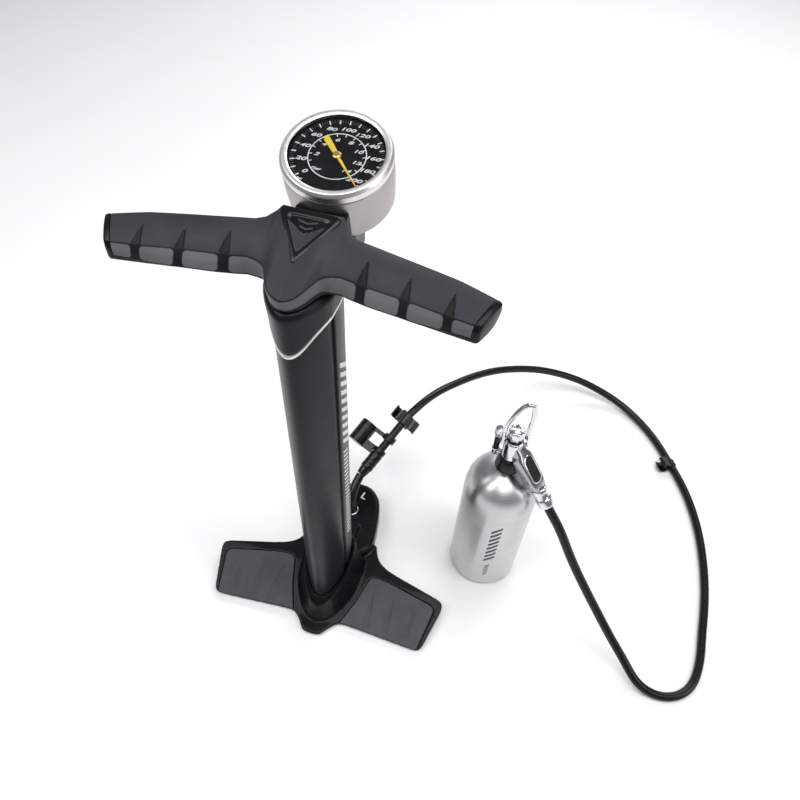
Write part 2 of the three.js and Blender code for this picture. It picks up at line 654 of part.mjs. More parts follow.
const LOOSE_CLIP = along([413, 315, 5.3], [431, 285, 5.3], Math.PI - 0.35);
piece('hose_clip', cut(
  all(disc(7.2, -5, 5, 16, LOOSE_CLIP), hook(LOOSE_CLIP, 13.5, 0)),
  disc(HOSE.bore, -20, 20, 16, LOOSE_CLIP),
  box([380, 290, -20], [440, 350, 0]),
), BLACK);

// ---------------------------------------------------------------- air bottle
const bottleAt = move(BOTTLE.x, BOTTLE.y, 0);
const shoulder = [
  [BOTTLE.r, 163], [41.5, 176], [39.6, 187], [35.8, 196], [30, 203], [21, 208.6], [12.5, 212], [BOTTLE.neckR, 214],
];
const bottleInside = [[0, 4], [36, 4], [39.5, 8], [39.8, 165], [36, 184], [27, 196], [5.6, 209]];
piece('bottle', turned([
  [0, 2], [31, 2], [34, 0], [38, 0], [BOTTLE.r, 4.5], ...shoulder, [BOTTLE.neckR, BOTTLE.neckTop],
  [5.6, BOTTLE.neckTop],
  ...bottleInside.reverse(),
], 32, bottleAt), SILVER);
piece('bottle_collar', ring(14.2, 8.8, 218.3, 229, 24, bottleAt), BLACK);
piece('bottle_valve', cut(
  all(
    turned([
      [0, 208], [5.3, 208], [5.3, 219.4], [8.4, 219.4], [8.4, 229.5], [5, 231], [5, 244], [0, 244],
    ], 18, bottleAt),
    box([-19, -2.8, 229.5], [0, 3.2, 236.5], chain(bottleAt, turnZ(-0.35))),
    disc(4.2, 229.5, 238, 14, chain(bottleAt, turnZ(-0.35), move(-18, 0, 0))),
  ),
  disc(1.5, 200, 250, 8, bottleAt),
), CHROME);
const knobAt = chain(bottleAt, turnZ(-0.35), move(-18, 0, 0));
piece('bleed_stem', disc(3.4, 238.3, 261, 14, knobAt), BLACK);

function knurled(r, low, high, teeth, place) {
  const shape = new THREE.Shape();
  for (let i = 0; i < teeth * 2; i += 1) {
    const a = (Math.PI * i) / teeth;
    const reach = i % 2 ? r : r - 0.6;
    if (i === 0) shape.moveTo(reach, 0);
    else shape.lineTo(reach * Math.cos(a), reach * Math.sin(a));
  }
  return raise(shape, low, high, { place });
}
piece('bleed_knob', knurled(5, 261.3, 272, 12, knobAt), STEEL);

// ---------------------------------------------------------------- hose head
// Local frame: Z is the bottle valve's axis, X points the way that the arm runs down to the hose.
const headAt = chain(bottleAt, turnZ(HEAD.turn));
const armAt = chain(headAt, move(0, 0, HEAD.z), turnY(HEAD.droop));
const ARM = { neck: 7.4, half: 9.6, deep: 6.8, waist: 17, end: 62 };
const armOut = chain(armAt, turnY(Math.PI / 2));
const armBar = all(
  raise(roundedRectangle(6.2, ARM.neck, 3), 4, ARM.waist + 1, { place: armOut }),
  raise(roundedRectangle(ARM.deep, ARM.half, 3), ARM.waist, ARM.end, { place: armOut }),
);
const headBlock = turned([[0, 239], [9, 239], [10, 241], [10, 266], [9, 268], [0, 268]], 20, headAt);
const inlayPlan = roundedRectangle(16, 5.6, 5.6);
const inlayAt = (low, high) => raise(inlayPlan, low, high, { place: chain(armAt, move(36, 0, 0)) });
const leverAt = chain(headAt, move(0, 0, 262), turnZ(0.56));
const pivotAt = chain(leverAt, turnY(Math.PI / 2));
const buttonAt = chain(armAt, move(28, 0, 0), turnX(-Math.PI / 2));
piece('head_body', cut(
  all(headBlock, armBar),
  inlayAt(ARM.deep - 1.5, ARM.deep + 4),
  disc(5.4, 230, 254, 16, headAt),
  disc(2.6, ARM.end - 20, ARM.end + 10, 12, armOut),
  disc(1.9, -20, 20, 12, pivotAt),
  disc(2.2, ARM.half - 3.8, ARM.half + 4, 12, buttonAt),
), STEEL);
piece('head_inlay', raise(roundedRectangle(15.7, 5.3, 5.3), ARM.deep - 1.2, ARM.deep + 0.5, {
  place: chain(armAt, move(36, 0, 0)),
}), RUBBER);
piece('head_seal', ring(8.6, 6, 268.3, 271, 18, headAt), RUBBER);
piece('head_nut', cut(
  all(knurled(8.8, 271.3, 283, 8, headAt), disc(8.4, 283, 285, 18, headAt)),
  disc(4, 280, 290, 16, headAt),
), CHROME);
piece('hose_ferrule', cut(
  turned([
    [0, ARM.end + 0.3], [8.6, ARM.end + 0.3], [8.6, ARM.end + 6], [7.6, ARM.end + 7], [7.6, 76], [8.8, 77],
    [8.8, 86], [7.8, 87.5], [0, 87.5],
  ], 18, armOut),
  disc(HOSE.r + 0.5, 74, 100, 16, armOut),
  disc(2.6, 50, 80, 12, armOut),
), CHROME);
piece('lever_pin', disc(1.6, -14.2, 14.2, 12, pivotAt), STEEL);

const LEVER_R = 2.9;
function lever() {
  const cheek = (x) => all(
    box([x - 1.1, -3.2, 0], [x + 1.1, 4, 16], leverAt),
    disc(3.2, x - 1.1, x + 1.1, 16, pivotAt),
  );
  const bow = [
    [-12.4, 0.8, 8], [-11, 3, 24], [-3, 7, 42], [5, 9.5, 52], [11.5, 9.5, 52], [14, 7, 42], [12.8, 3, 24],
    [12.4, 0.8, 8],
  ];
  const outline = all(cheek(13.1), cheek(-12.3), bar(bow, LEVER_R, 18, 8, leverAt));
  return cut(outline, disc(1.9, -20, 20, 12, pivotAt));
}
piece('head_lever', lever(), CHROME);
piece('release_button', disc(1.9, ARM.half - 2, ARM.half + 1.8, 12, buttonAt), BLACK);

export default part;
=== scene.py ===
import math

import bmesh
import bpy
import numpy as np
from mathutils import Matrix, Vector


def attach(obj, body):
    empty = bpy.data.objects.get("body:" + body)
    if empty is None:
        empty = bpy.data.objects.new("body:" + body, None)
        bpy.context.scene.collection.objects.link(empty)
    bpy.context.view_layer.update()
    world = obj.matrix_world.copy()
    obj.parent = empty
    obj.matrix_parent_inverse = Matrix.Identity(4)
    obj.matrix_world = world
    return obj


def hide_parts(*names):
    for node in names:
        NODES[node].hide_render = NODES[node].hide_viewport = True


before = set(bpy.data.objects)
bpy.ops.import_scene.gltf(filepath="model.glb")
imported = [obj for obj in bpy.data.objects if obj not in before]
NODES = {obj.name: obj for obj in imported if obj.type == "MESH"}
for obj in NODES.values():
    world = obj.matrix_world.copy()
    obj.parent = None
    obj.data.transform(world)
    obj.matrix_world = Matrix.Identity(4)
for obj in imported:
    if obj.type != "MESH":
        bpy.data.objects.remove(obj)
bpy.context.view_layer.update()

AXIS_Y = -35.0          # the barrel's axis, in millimetres in the model's frame
BODY = "pump_body"


def metres(points):
    """Points in millimetres from the barrel's axis, as metres in the model's frame."""
    p = np.asarray(points, float).reshape(-1, 3).copy()
    p[:, 1] += AXIS_Y
    return p / 1000.0


# ---- camera
scene = bpy.context.scene
CAMERA_AT = (0.15863, -0.38038, 0.86987)
LENS_MM = 32.20695
SENSOR_MM = 36
YAW, PITCH, ROLL = math.radians(-13.145), math.radians(52.103), math.radians(3.534)
forward = Vector((math.sin(YAW) * math.cos(PITCH), math.cos(YAW) * math.cos(PITCH), -math.sin(PITCH)))
level = Vector((math.cos(YAW), -math.sin(YAW), 0))
upward = level.cross(forward)
right = math.cos(ROLL) * level + math.sin(ROLL) * upward
up = -math.sin(ROLL) * level + math.cos(ROLL) * upward
camera = bpy.data.objects.new("camera", bpy.data.cameras.new("camera"))
camera.data.sensor_width = SENSOR_MM
camera.data.lens = LENS_MM
camera.data.clip_start = 0.02
camera.matrix_world = Matrix((
    (right.x, up.x, -forward.x, CAMERA_AT[0]),
    (right.y, up.y, -forward.y, CAMERA_AT[1]),
    (right.z, up.z, -forward.z, CAMERA_AT[2]),
    (0, 0, 0, 1),
))
scene.collection.objects.link(camera)
scene.camera = camera


# ---- materials
class Graph:
    """A node material with the few steps that every finish here uses."""

    def __init__(self, name):
        self.material = bpy.data.materials.new(name)
        self.material.use_nodes = True
        self.tree = self.material.node_tree
        self.shader = self.tree.nodes["Principled BSDF"]
        self.coords = self.tree.nodes.new("ShaderNodeTexCoord").outputs["Object"]

    def new(self, kind, **settings):
        node = self.tree.nodes.new(kind)
        for key, value in settings.items():
            setattr(node, key, value)
        return node

    def link(self, a, b):
        self.tree.links.new(a, b)

    def set(self, **values):
        for key, value in values.items():
            self.shader.inputs[key.replace("_", " ")].default_value = value

    def noise(self, scale, detail=3.0, rough=0.55):
        mapping = self.new("ShaderNodeMapping")
        mapping.inputs["Scale"].default_value = scale if hasattr(scale, "__len__") else (scale,) * 3
        self.link(self.coords, mapping.inputs["Vector"])
        node = self.new("ShaderNodeTexNoise")
        node.inputs["Scale"].default_value = 1.0
        node.inputs["Detail"].default_value = detail
        node.inputs["Roughness"].default_value = rough
        self.link(mapping.outputs["Vector"], node.inputs["Vector"])
        return node.outputs["Fac"]

    def ranged(self, value, low, high, start=0.25, stop=0.75):
        node = self.new("ShaderNodeMapRange")
        node.inputs["From Min"].default_value = start
        node.inputs["From Max"].default_value = stop
        node.inputs["To Min"].default_value = low
        node.inputs["To Max"].default_value = high
        self.link(value, node.inputs["Value"])
        return node.outputs["Result"]

    def mixed(self, share, a, b):
        node = self.new("ShaderNodeMix", data_type="RGBA")
        self.link(share, node.inputs[0])
        for value, socket in ((a, node.inputs[6]), (b, node.inputs[7])):
            if hasattr(value, "links"):
                self.link(value, socket)
            else:
                socket.default_value = (*value, 1)
        return node.outputs[2]

    def attribute(self, name):
        return self.new("ShaderNodeAttribute", attribute_name=name).outputs["Fac"]

    def bump(self, height, strength, distance, before=None):
        node = self.new("ShaderNodeBump")
        node.inputs["Strength"].default_value = strength
        node.inputs["Distance"].default_value = distance
        self.link(height, node.inputs["Height"])
        if before is not None:
            self.link(before, node.inputs["Normal"])
        return node.outputs["Normal"]

    def edge(self):
        """1 on convex edges, 0 elsewhere."""
        return self.ranged(self.new("ShaderNodeNewGeometry").outputs["Pointiness"], 0.0, 1.0, 0.52, 0.60)


def shade(color, share):
    return tuple(min(1.0, c * share) for c in color)


def finish(name, color, roughness, metal=0.0, spread=0.12, patch=35.0, rough_spread=0.06,
           grain=900.0, grain_depth=0.00006, grain_strength=0.35, wear=0.0, streak=None,
           streak_strength=0.25, specular=0.28):
    """Colour and roughness that vary in soft patches, a fine grain, and lighter worn edges."""
    g = Graph(name)
    g.set(Metallic=metal, Specular_IOR_Level=specular)
    share = g.ranged(g.noise(patch), 0.0, 1.0)
    tint = g.mixed(share, shade(color, 1 - spread), shade(color, 1 + spread))
    if wear:
        tint = g.mixed(g.ranged(g.edge(), 0.0, wear, 0.0, 1.0), tint, shade(color, 2.2))
    g.link(tint, g.shader.inputs["Base Color"])
    rough = g.ranged(g.noise(patch * 2.3), roughness - rough_spread, roughness + rough_spread)
    normal = None
    if streak is not None:
        lines = g.noise(streak, 2.0, 0.7)
        rough = g.ranged(lines, roughness - rough_spread, roughness + rough_spread)
        normal = g.bump(lines, streak_strength, 0.00008)
    g.link(rough, g.shader.inputs["Roughness"])
    if grain_strength:
        normal = g.bump(g.noise(grain, 2.0), grain_strength, grain_depth, normal)
    if normal is not None:
        g.link(normal, g.shader.inputs["Normal"])
    return g.material


PLASTIC = finish("black_moulded_plastic", (0.006, 0.006, 0.007), 0.24, wear=0.2, grain=1500,
                 specular=0.4)
SOFT_PLASTIC = finish("black_satin_plastic", (0.005, 0.005, 0.006), 0.30, wear=0.12, grain=2200,
                      specular=0.18)
GLOSS_PLASTIC = finish("black_gloss_plastic", (0.006, 0.006, 0.007), 0.16, rough_spread=0.04,
                       grain_strength=0.12)
CHARCOAL = finish("charcoal_anodised", (0.0125, 0.0115, 0.0145), 0.34, metal=0.35, spread=0.06, patch=22,
                  rough_spread=0.04, grain=2600, grain_strength=0.22, specular=0.17)
RUBBER = finish("black_rubber", (0.009, 0.009, 0.009), 0.55, grain=1800, grain_strength=0.5)
HOSE_RUBBER = finish("hose_rubber", (0.007, 0.007, 0.008), 0.28, patch=120, grain=2400,
                     grain_strength=0.35)
BRUSHED = finish("brushed_gauge_metal", (0.44, 0.42, 0.41), 0.42, metal=1.0, spread=0.05, patch=18,
                 streak=(60, 60, 2200), streak_strength=0.12, grain_strength=0.12)
BEZEL = finish("bright_brushed_metal", (0.80, 0.78, 0.76), 0.40, metal=1.0, spread=0.04, patch=30,
               streak=(200, 200, 2600), streak_strength=0.08, grain_strength=0.1)
CHROME = finish("polished_chrome", (0.78, 0.78, 0.80), 0.13, metal=1.0, spread=0.07, patch=120,
                rough_spread=0.04, grain_strength=0.10)
SMOKED_CHROME = finish("smoked_chrome", (0.42, 0.43, 0.46), 0.17, metal=1.0, spread=0.12, patch=140,
                       rough_spread=0.05, grain_strength=0.10)
STEEL = finish("turned_steel", (0.58, 0.57, 0.56), 0.26, metal=1.0, spread=0.08, patch=90, grain=1800)
BRASS = finish("machined_brass", (0.66, 0.47, 0.17), 0.28, metal=1.0, spread=0.08, patch=80, grain=1800)
YELLOW = finish("yellow_enamel", (0.80, 0.56, 0.035), 0.38, spread=0.07, patch=160, grain=3000,
                grain_strength=0.15)
GOLD = finish("gilt_hub", (0.62, 0.45, 0.16), 0.30, metal=0.8, spread=0.1, patch=200)


def ink(name, color, spread=0.08):
    return finish(name, color, 0.5, spread=spread, patch=300, grain_strength=0.1)


INK = ink("white_ink", (0.74, 0.74, 0.74), 0.05)
FAINT_INK = ink("faint_ink", (0.10, 0.10, 0.105))
DARK_INK = ink("dark_ink", (0.035, 0.035, 0.04))
DIAL = finish("dial_black", (0.005, 0.005, 0.006), 0.6, spread=0.15, patch=80, grain=2400,
              grain_strength=0.2, specular=0.05)


def bottle_finish():
    g = Graph("brushed_aluminium")
    g.set(Metallic=1.0, Anisotropic=0.7, Anisotropic_Rotation=0.25)
    lines = g.noise((45, 45, 1900), 3.0, 0.75)
    broad = g.noise((14, 14, 160), 2.0)
    tint = g.mixed(g.ranged(lines, 0, 1), (0.56, 0.555, 0.56), (0.72, 0.715, 0.72))
    g.link(g.mixed(g.ranged(broad, 0, 0.4), tint, (0.52, 0.515, 0.52)), g.shader.inputs["Base Color"])
    g.link(g.ranged(lines, 0.27, 0.38), g.shader.inputs["Roughness"])
    g.link(g.bump(lines, 0.14, 0.00006), g.shader.inputs["Normal"])
    return g.material


def glass_finish():
    g = Graph("clear_lens_glass")
    g.set(Transmission_Weight=1.0, IOR=1.3, Roughness=0.02, Base_Color=(0.98, 1.0, 1.0, 1))
    g.link(g.ranged(g.noise(60), 0.01, 0.035), g.shader.inputs["Roughness"])
    g.link(g.bump(g.noise(25, 1.0), 0.03, 0.0001), g.shader.inputs["Normal"])
    return g.material


def grip_finish():
    """Dark rubber on top, paler panels along the front edge, black grooves and black underneath."""
    g = Graph("grip_rubber")
    g.set(Specular_IOR_Level=0.2)
    patch = g.ranged(g.noise(30), 0, 1)
    top = g.mixed(patch, (0.022, 0.0235, 0.028), (0.031, 0.033, 0.038))
    pale = g.mixed(patch, (0.105, 0.107, 0.113), (0.145, 0.147, 0.153))
    gap = g.mixed(patch, (0.005, 0.005, 0.006), (0.009, 0.009, 0.010))
    black = g.mixed(patch, (0.003, 0.003, 0.0035), (0.006, 0.006, 0.007))
    color = g.mixed(g.ranged(g.attribute("band"), 0, 1, -0.35, 0.35), top, gap)
    color = g.mixed(g.ranged(g.attribute("panel"), 0, 1, -0.35, 0.35), color, pale)
    color = g.mixed(g.ranged(g.attribute("groove"), 0, 1, -0.3, 0.3), color, black)
    color = g.mixed(g.ranged(g.attribute("under"), 0, 1, -0.3, 0.3), color, black)
    g.link(color, g.shader.inputs["Base Color"])
    g.link(g.ranged(g.noise(70), 0.46, 0.6), g.shader.inputs["Roughness"])
    pebble = g.bump(g.noise(1300, 2.0), 0.45, 0.00008)
    g.link(g.bump(g.noise(420, 2.0), 0.12, 0.0001, pebble), g.shader.inputs["Normal"])
    return g.material


def tread_finish():
    g = Graph("tread_rubber")
    g.set(Specular_IOR_Level=0.2)
    patch = g.ranged(g.noise(40), 0, 1)
    color = g.mixed(patch, (0.058, 0.062, 0.068), (0.076, 0.080, 0.087))
    color = g.mixed(g.ranged(g.attribute("ridge"), 0, 0.5, 0.0, 1.0), color, (0.055, 0.058, 0.062))
    g.link(color, g.shader.inputs["Base Color"])
    g.link(g.ranged(g.noise(90), 0.5, 0.66), g.shader.inputs["Roughness"])
    g.link(g.bump(g.noise(1500, 2.0), 0.5, 0.0001), g.shader.inputs["Normal"])
    return g.material


BOTTLE_METAL, LENS, GRIP, TREAD = bottle_finish(), glass_finish(), grip_finish(), tread_finish()


# ---- mesh helpers
def place(obj, material, replaces=(), body=BODY):
    """Finishes a piece: its material, the body that it moves with, and the CAD nodes that it stands for."""
    obj.data.materials.clear()
    obj.data.materials.append(material)
    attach(obj, body)
    if replaces:
        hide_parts(*replaces)
    return obj


def object_of(name, vertices, faces, sharp=40.0, weld=False):
    mesh = bpy.data.meshes.new(name)
    mesh.from_pydata([tuple(p) for p in metres(vertices)], [], faces)
    work = bmesh.new()
    work.from_mesh(mesh)
    if weld:
        bmesh.ops.remove_doubles(work, verts=work.verts, dist=1e-6)
    bmesh.ops.recalc_face_normals(work, faces=work.faces)
    work.to_mesh(mesh)
    work.free()
    obj = bpy.data.objects.new(name, mesh)
    scene.collection.objects.link(obj)
    smooth(obj, sharp)
    return obj


def smooth(obj, sharp=40.0):
    obj.data.polygons.foreach_set("use_smooth", [True] * len(obj.data.polygons))
    obj.data.set_sharp_from_angle(angle=math.radians(sharp))


def bands(loops, count, closed):
    """Faces between neighbouring loops of count points, and from the last to the first if closed."""
    faces = []
    for i in range(loops if closed else loops - 1):
        a, b = i * count, ((i + 1) % loops) * count
        faces += [(a + j, a + (j + 1) % count, b + (j + 1) % count, b + j) for j in range(count)]
    return faces


def rings(name, loops, loop_round=False, sharp=40.0):
    """A surface through closed loops of equal length. loop_round joins the last loop to the first."""
    count = len(loops[0])
    vertices = [p for loop in loops for p in loop]
    faces = bands(len(loops), count, loop_round)
    if not loop_round:
        faces.append(tuple(reversed(range(count))))
        faces.append(tuple(range((len(loops) - 1) * count, len(loops) * count)))
    return object_of(name, vertices, faces, sharp)


def rounded(profile, radius=0.5, steps=3):
    """The profile with each corner between its ends cut by a short curve."""
    out = [profile[0]]
    for before, here, after in zip(profile, profile[1:], profile[2:]):
        a, b, c = (np.array(p, float) for p in (before, here, after))
        cut = min(radius, 0.45 * np.linalg.norm(b - a), 0.45 * np.linalg.norm(c - b))
        start = b + (a - b) * cut / max(np.linalg.norm(a - b), 1e-9)
        stop = b + (c - b) * cut / max(np.linalg.norm(c - b), 1e-9)
        for t in np.linspace(0, 1, steps + 1):
            out.append(tuple((1 - t) ** 2 * start + 2 * t * (1 - t) * b + t * t * stop))
    out.append(profile[-1])
    return out


def lathe(name, profile, segments, place_at, radius, ring, sharp):
    """A profile of (radius, height) in millimetres, turned about Z and moved by place_at."""
    profile = rounded(profile + profile[:1], radius)[:-1] if ring else rounded(profile, radius)
    matrix = place_at or Matrix.Identity(4)
    loops = []
    poles = {}
    for i, (r, z) in enumerate(profile):
        if r < 1e-6:
            poles[i] = tuple(matrix @ Vector((0, 0, z)))
            continue
        angles = [2 * math.pi * k / segments for k in range(segments)]
        loops.append([tuple(matrix @ Vector((r * math.cos(a), r * math.sin(a), z))) for a in angles])
    vertices = [p for loop in loops for p in loop]
    faces = bands(len(loops), segments, ring)
    if 0 in poles:
        vertices.append(poles[0])
        centre = len(vertices) - 1
        faces += [(centre, (j + 1) % segments, j) for j in range(segments)]
    if len(profile) - 1 in poles:
        vertices.append(poles[len(profile) - 1])
        centre, base = len(vertices) - 1, (len(loops) - 1) * segments
        faces += [(centre, base + j, base + (j + 1) % segments) for j in range(segments)]
    return object_of(name, vertices, faces, sharp)


def turned(name, profile, segments, place_at, radius, material, replaces=(), body=BODY,
           ring=False, sharp=40.0):
    """A turned piece, finished. A ring's profile closes on itself, any other starts and ends on the axis."""
    obj = lathe(name, profile, segments, place_at, radius, ring, sharp)
    return place(obj, material, replaces, body)


def apply_modifiers(obj):
    depsgraph = bpy.context.evaluated_depsgraph_get()
    mesh = bpy.data.meshes.new_from_object(obj.evaluated_get(depsgraph))
    obj.modifiers.clear()
    obj.data = mesh


def softened_copy(node, voxel, passes, name, material, body=BODY):
    """A copy of a CAD node remade on an even grid with its edges worn round, finished."""
    obj = bpy.data.objects.new(name, NODES[node].data.copy())
    scene.collection.objects.link(obj)
    remesh = obj.modifiers.new("remesh", "REMESH")
    remesh.mode = "VOXEL"
    remesh.voxel_size = voxel / 1000
    remesh.use_smooth_shade = True
    relax = obj.modifiers.new("relax", "SMOOTH")
    relax.factor = 0.5
    relax.iterations = passes
    apply_modifiers(obj)
    smooth(obj, 180.0)
    return place(obj, material, [node], body)


# ---- hose
HOSE_ROUTE = [
    (2.7, 126.2, 73), (14, 150.5, 83), (27.5, 179.5, 95), (41.5, 209.6, 107.5), (48, 221, 110.6),
    (58, 240, 111.5), (72, 264, 108.5), (88, 287, 102.5), (105, 310.5, 95), (123.5, 332.5, 87),
    (143, 352, 78.5), (170.5, 373.5, 67), (200, 391.5, 55), (231, 404.5, 42), (263, 411.5, 30),
    (297, 411, 18.5), (331, 402, 10), (363, 381, 6), (389.5, 352, 5.3), (411, 318.5, 5.3),
    (431, 285, 5.3), (446.5, 248, 5.3), (457, 210, 5.3), (463, 173, 5.3), (466, 137.5, 5.3),
    (466, 102.5, 5.3), (464, 68.5, 5.3), (462.5, 36, 5.3), (455, 4.5, 5.3), (441, -12.5, 5.3),
    (423, -20.5, 5.5), (404.5, -20.5, 6.8), (386.5, -13.5, 11), (368, 3, 22), (345.5, 17, 42.5),
    (321.5, 31, 69), (297.5, 43.5, 98.5), (274.5, 55, 130), (252.3, 67.5, 165.3),
    (237.6, 73.5, 184.6), (223.8, 79.1, 202.8),
]
HOSE_R = 5.2


def catmull(points, steps):
    """A centripetal Catmull-Rom curve through the points."""
    p = [np.array(q, float) for q in points]
    p = [2 * p[0] - p[1]] + p + [2 * p[-1] - p[-2]]
    out = []
    for a, b, c, d in zip(p, p[1:], p[2:], p[3:]):
        t0 = 0.0
        t1 = t0 + np.linalg.norm(b - a) ** 0.5
        t2 = t1 + np.linalg.norm(c - b) ** 0.5
        t3 = t2 + np.linalg.norm(d - c) ** 0.5
        for t in np.linspace(t1, t2, steps, endpoint=False):
            ab = (t1 - t) / (t1 - t0) * a + (t - t0) / (t1 - t0) * b
            bc = (t2 - t) / (t2 - t1) * b + (t - t1) / (t2 - t1) * c
            cd = (t3 - t) / (t3 - t2) * c + (t - t2) / (t3 - t2) * d
            abc = (t2 - t) / (t2 - t0) * ab + (t - t0) / (t2 - t0) * bc
            bcd = (t3 - t) / (t3 - t1) * bc + (t - t1) / (t3 - t1) * cd
            out.append((t2 - t) / (t2 - t1) * abc + (t - t1) / (t2 - t1) * bcd)
    out.append(p[-2])
    return np.array(out)


def relaxed(points, passes):
    """The polyline with its kinks eased and its ends kept."""
    p = np.array(points, float)
    for _ in range(passes):
        q = p.copy()
        q[2:-2] = 0.25 * p[1:-3] + 0.5 * p[2:-2] + 0.25 * p[3:-1]
        p = q
    return p


def tube_curve(name, points, radius):
    curve = bpy.data.curves.new(name, "CURVE")
    curve.dimensions = "3D"
    spline = curve.splines.new("POLY")
    spline.points.add(len(points) - 1)
    for point, place_at in zip(spline.points, metres(points)):
        point.co = (*place_at, 1)
    curve.bevel_depth = radius / 1000
    curve.bevel_resolution = 8
    curve.use_fill_caps = True
    obj = bpy.data.objects.new(name, curve)
    scene.collection.objects.link(obj)
    return obj


hose_line = relaxed(catmull(HOSE_ROUTE, 8), 12)
hose = place(tube_curve("rubber_hose", hose_line, HOSE_R), HOSE_RUBBER, ["hose"])


# ---- barrel, trim and cap
def sweep(points, steps):
    """A Bezier curve of any order, without its first point."""
    out = []
    for t in np.linspace(0, 1, steps + 1)[1:]:
        p = [np.array(q, float) for q in points]
        while len(p) > 1:
            p = [(1 - t) * a + t * b for a, b in zip(p, p[1:])]
        out.append(p[0])
    return out


def barrel_outline(grow=0.0, grooved=False):
    half = [np.array((0, -32.7))]
    half += sweep([(0, -32.7), (6, -32.7), (12, -26), (17, -17.5)], 16)
    half += sweep([(17, -17.5), (21, -10.5), (22.9, -4)], 10)
    inner = [(22.7, -3.4), (21.9, -3.2), (21.8, 0), (21.9, 3.0), (23.6, 3.3), (24, 4)]
    outer = [(23.0, -3.4), (23.1, -3.0), (23.5, 0), (23.9, 3.0), (24.0, 3.5), (24.05, 4)]
    half += [np.array(p, float) for p in (inner if grooved else outer)]
    half += sweep([half[-1], (24.8, 8), (24.8, 14)], 8)
    half += sweep([(24.8, 14), (24.6, 18), (24.2, 22)], 4)
    half += sweep([(24.2, 22), (23.6, 30.5), (17, 30.5)], 12)
    half += sweep([(17, 30.5), (0, 30.5)], 4)
    left = [np.array((-x, y)) for x, y in reversed(half[1:-1])]
    points = np.array(half + left)
    middle = (30.5 - 32.7) / 2
    sx, sy = (24.8 + grow) / 24.8, (63.2 + 2 * grow) / 63.2
    return np.stack([points[:, 0] * sx, middle + (points[:, 1] - middle) * sy], axis=1)


def at_height(outline, z):
    z = np.broadcast_to(z, len(outline))
    return [(x, y, h) for (x, y), h in zip(outline, z)]


def round_loop(outline, radius):
    """A circle with one point for each point of the outline, at the same angle."""
    angle = np.arctan2(outline[:, 1], outline[:, 0])
    return np.stack([radius * np.cos(angle), radius * np.sin(angle)], axis=1)


plain = barrel_outline(0, True)
barrel = rings("barrel_tube", [
    at_height(plain, 12.5), at_height(plain, 499.8),
    at_height(round_loop(plain, 19.3), 499.8), at_height(round_loop(plain, 19.3), 12.5),
], loop_round=True, sharp=30)
place(barrel, CHARCOAL, ["barrel"])

# The trim's height at each distance from front to rear, as (y, z).
TRIM_LINE = np.array([
    (-50, 464), (-33.5, 474.5), (-27, 483), (-19, 490.3), (-3, 494.8), (15, 499.2), (34, 503),
])
TRIM_HEIGHT = 3.0
CAP_TOP = 520.0
FLARE_START = 462.0                    # the cap widens from here to its top
CAP_GROW, CAP_TOP_GROW = 1.6, 4.2      # how far it stands out from the barrel, low down and at its top


def trim_height(outline, above=0.0):
    """The trim's height at each point of an outline, on a line eased through TRIM_LINE."""
    y = np.linspace(-50, 40, 181)
    z = np.interp(y, TRIM_LINE[:, 0], TRIM_LINE[:, 1])
    for _ in range(160):
        z[1:-1] = 0.25 * z[:-2] + 0.5 * z[1:-1] + 0.25 * z[2:]
    return np.interp(outline[:, 1], y, z) + above


def cap_loop(share, lift=0.0, grow=0.0):
    """A loop round the cap, from its slanting lower edge at 0 to its top at 1."""
    base = barrel_outline(CAP_GROW)
    low = trim_height(base, TRIM_HEIGHT + 0.3)
    z = low + (CAP_TOP - low) * share + lift
    t = np.clip((z - FLARE_START) / (CAP_TOP - FLARE_START), 0, 1)
    wide = barrel_outline(CAP_GROW + grow)
    wider = barrel_outline(CAP_TOP_GROW + grow)
    outline = wide + (wider - wide) * (t ** 2)[:, None]
    return at_height(outline, z)


CAP_FILLET = 6.0
CAP_FLOOR = 501.0
hole = round_loop(barrel_outline(0), 11.3)
inner = barrel_outline(0.35)
cap_top_loop = np.array(cap_loop(1.0, -0.2, -CAP_FILLET))
cap_sides = [cap_loop(0, 0.25, -0.35), cap_loop(0, 0.0, -0.15), cap_loop(0, 0.25, 0.0)]
cap_sides += [cap_loop(share) for share in (0.1, 0.3, 0.5, 0.7)]
cap_sides += [cap_loop(1.0, -0.2 - CAP_FILLET * (1 - math.sin(a)), -CAP_FILLET * (1 - math.cos(a)))
              for a in np.linspace(0, math.pi / 2, 8)]
cap = rings("barrel_head", cap_sides + [
    at_height(hole + (cap_top_loop[:, :2] - hole) * 0.5, CAP_TOP - 0.1), at_height(hole, CAP_TOP - 0.1),
    at_height(hole, CAP_FLOOR), at_height(inner, CAP_FLOOR),
    at_height(inner, trim_height(inner, TRIM_HEIGHT + 0.5)),
], loop_round=True, sharp=35)
place(cap, CHARCOAL, ["top_cap"])

outer, edge = barrel_outline(2.3), barrel_outline(1.9)
trim = rings("trim_band", [
    at_height(edge, trim_height(outer, 0.05)), at_height(outer, trim_height(outer, 0.4)),
    at_height(outer, trim_height(outer, TRIM_HEIGHT - 0.4)),
    at_height(edge, trim_height(outer, TRIM_HEIGHT - 0.05)),
    at_height(inner, trim_height(inner, TRIM_HEIGHT - 0.05)), at_height(inner, trim_height(inner, 0.05)),
], loop_round=True, sharp=50)
place(trim, BEZEL, ["trim_ring"])


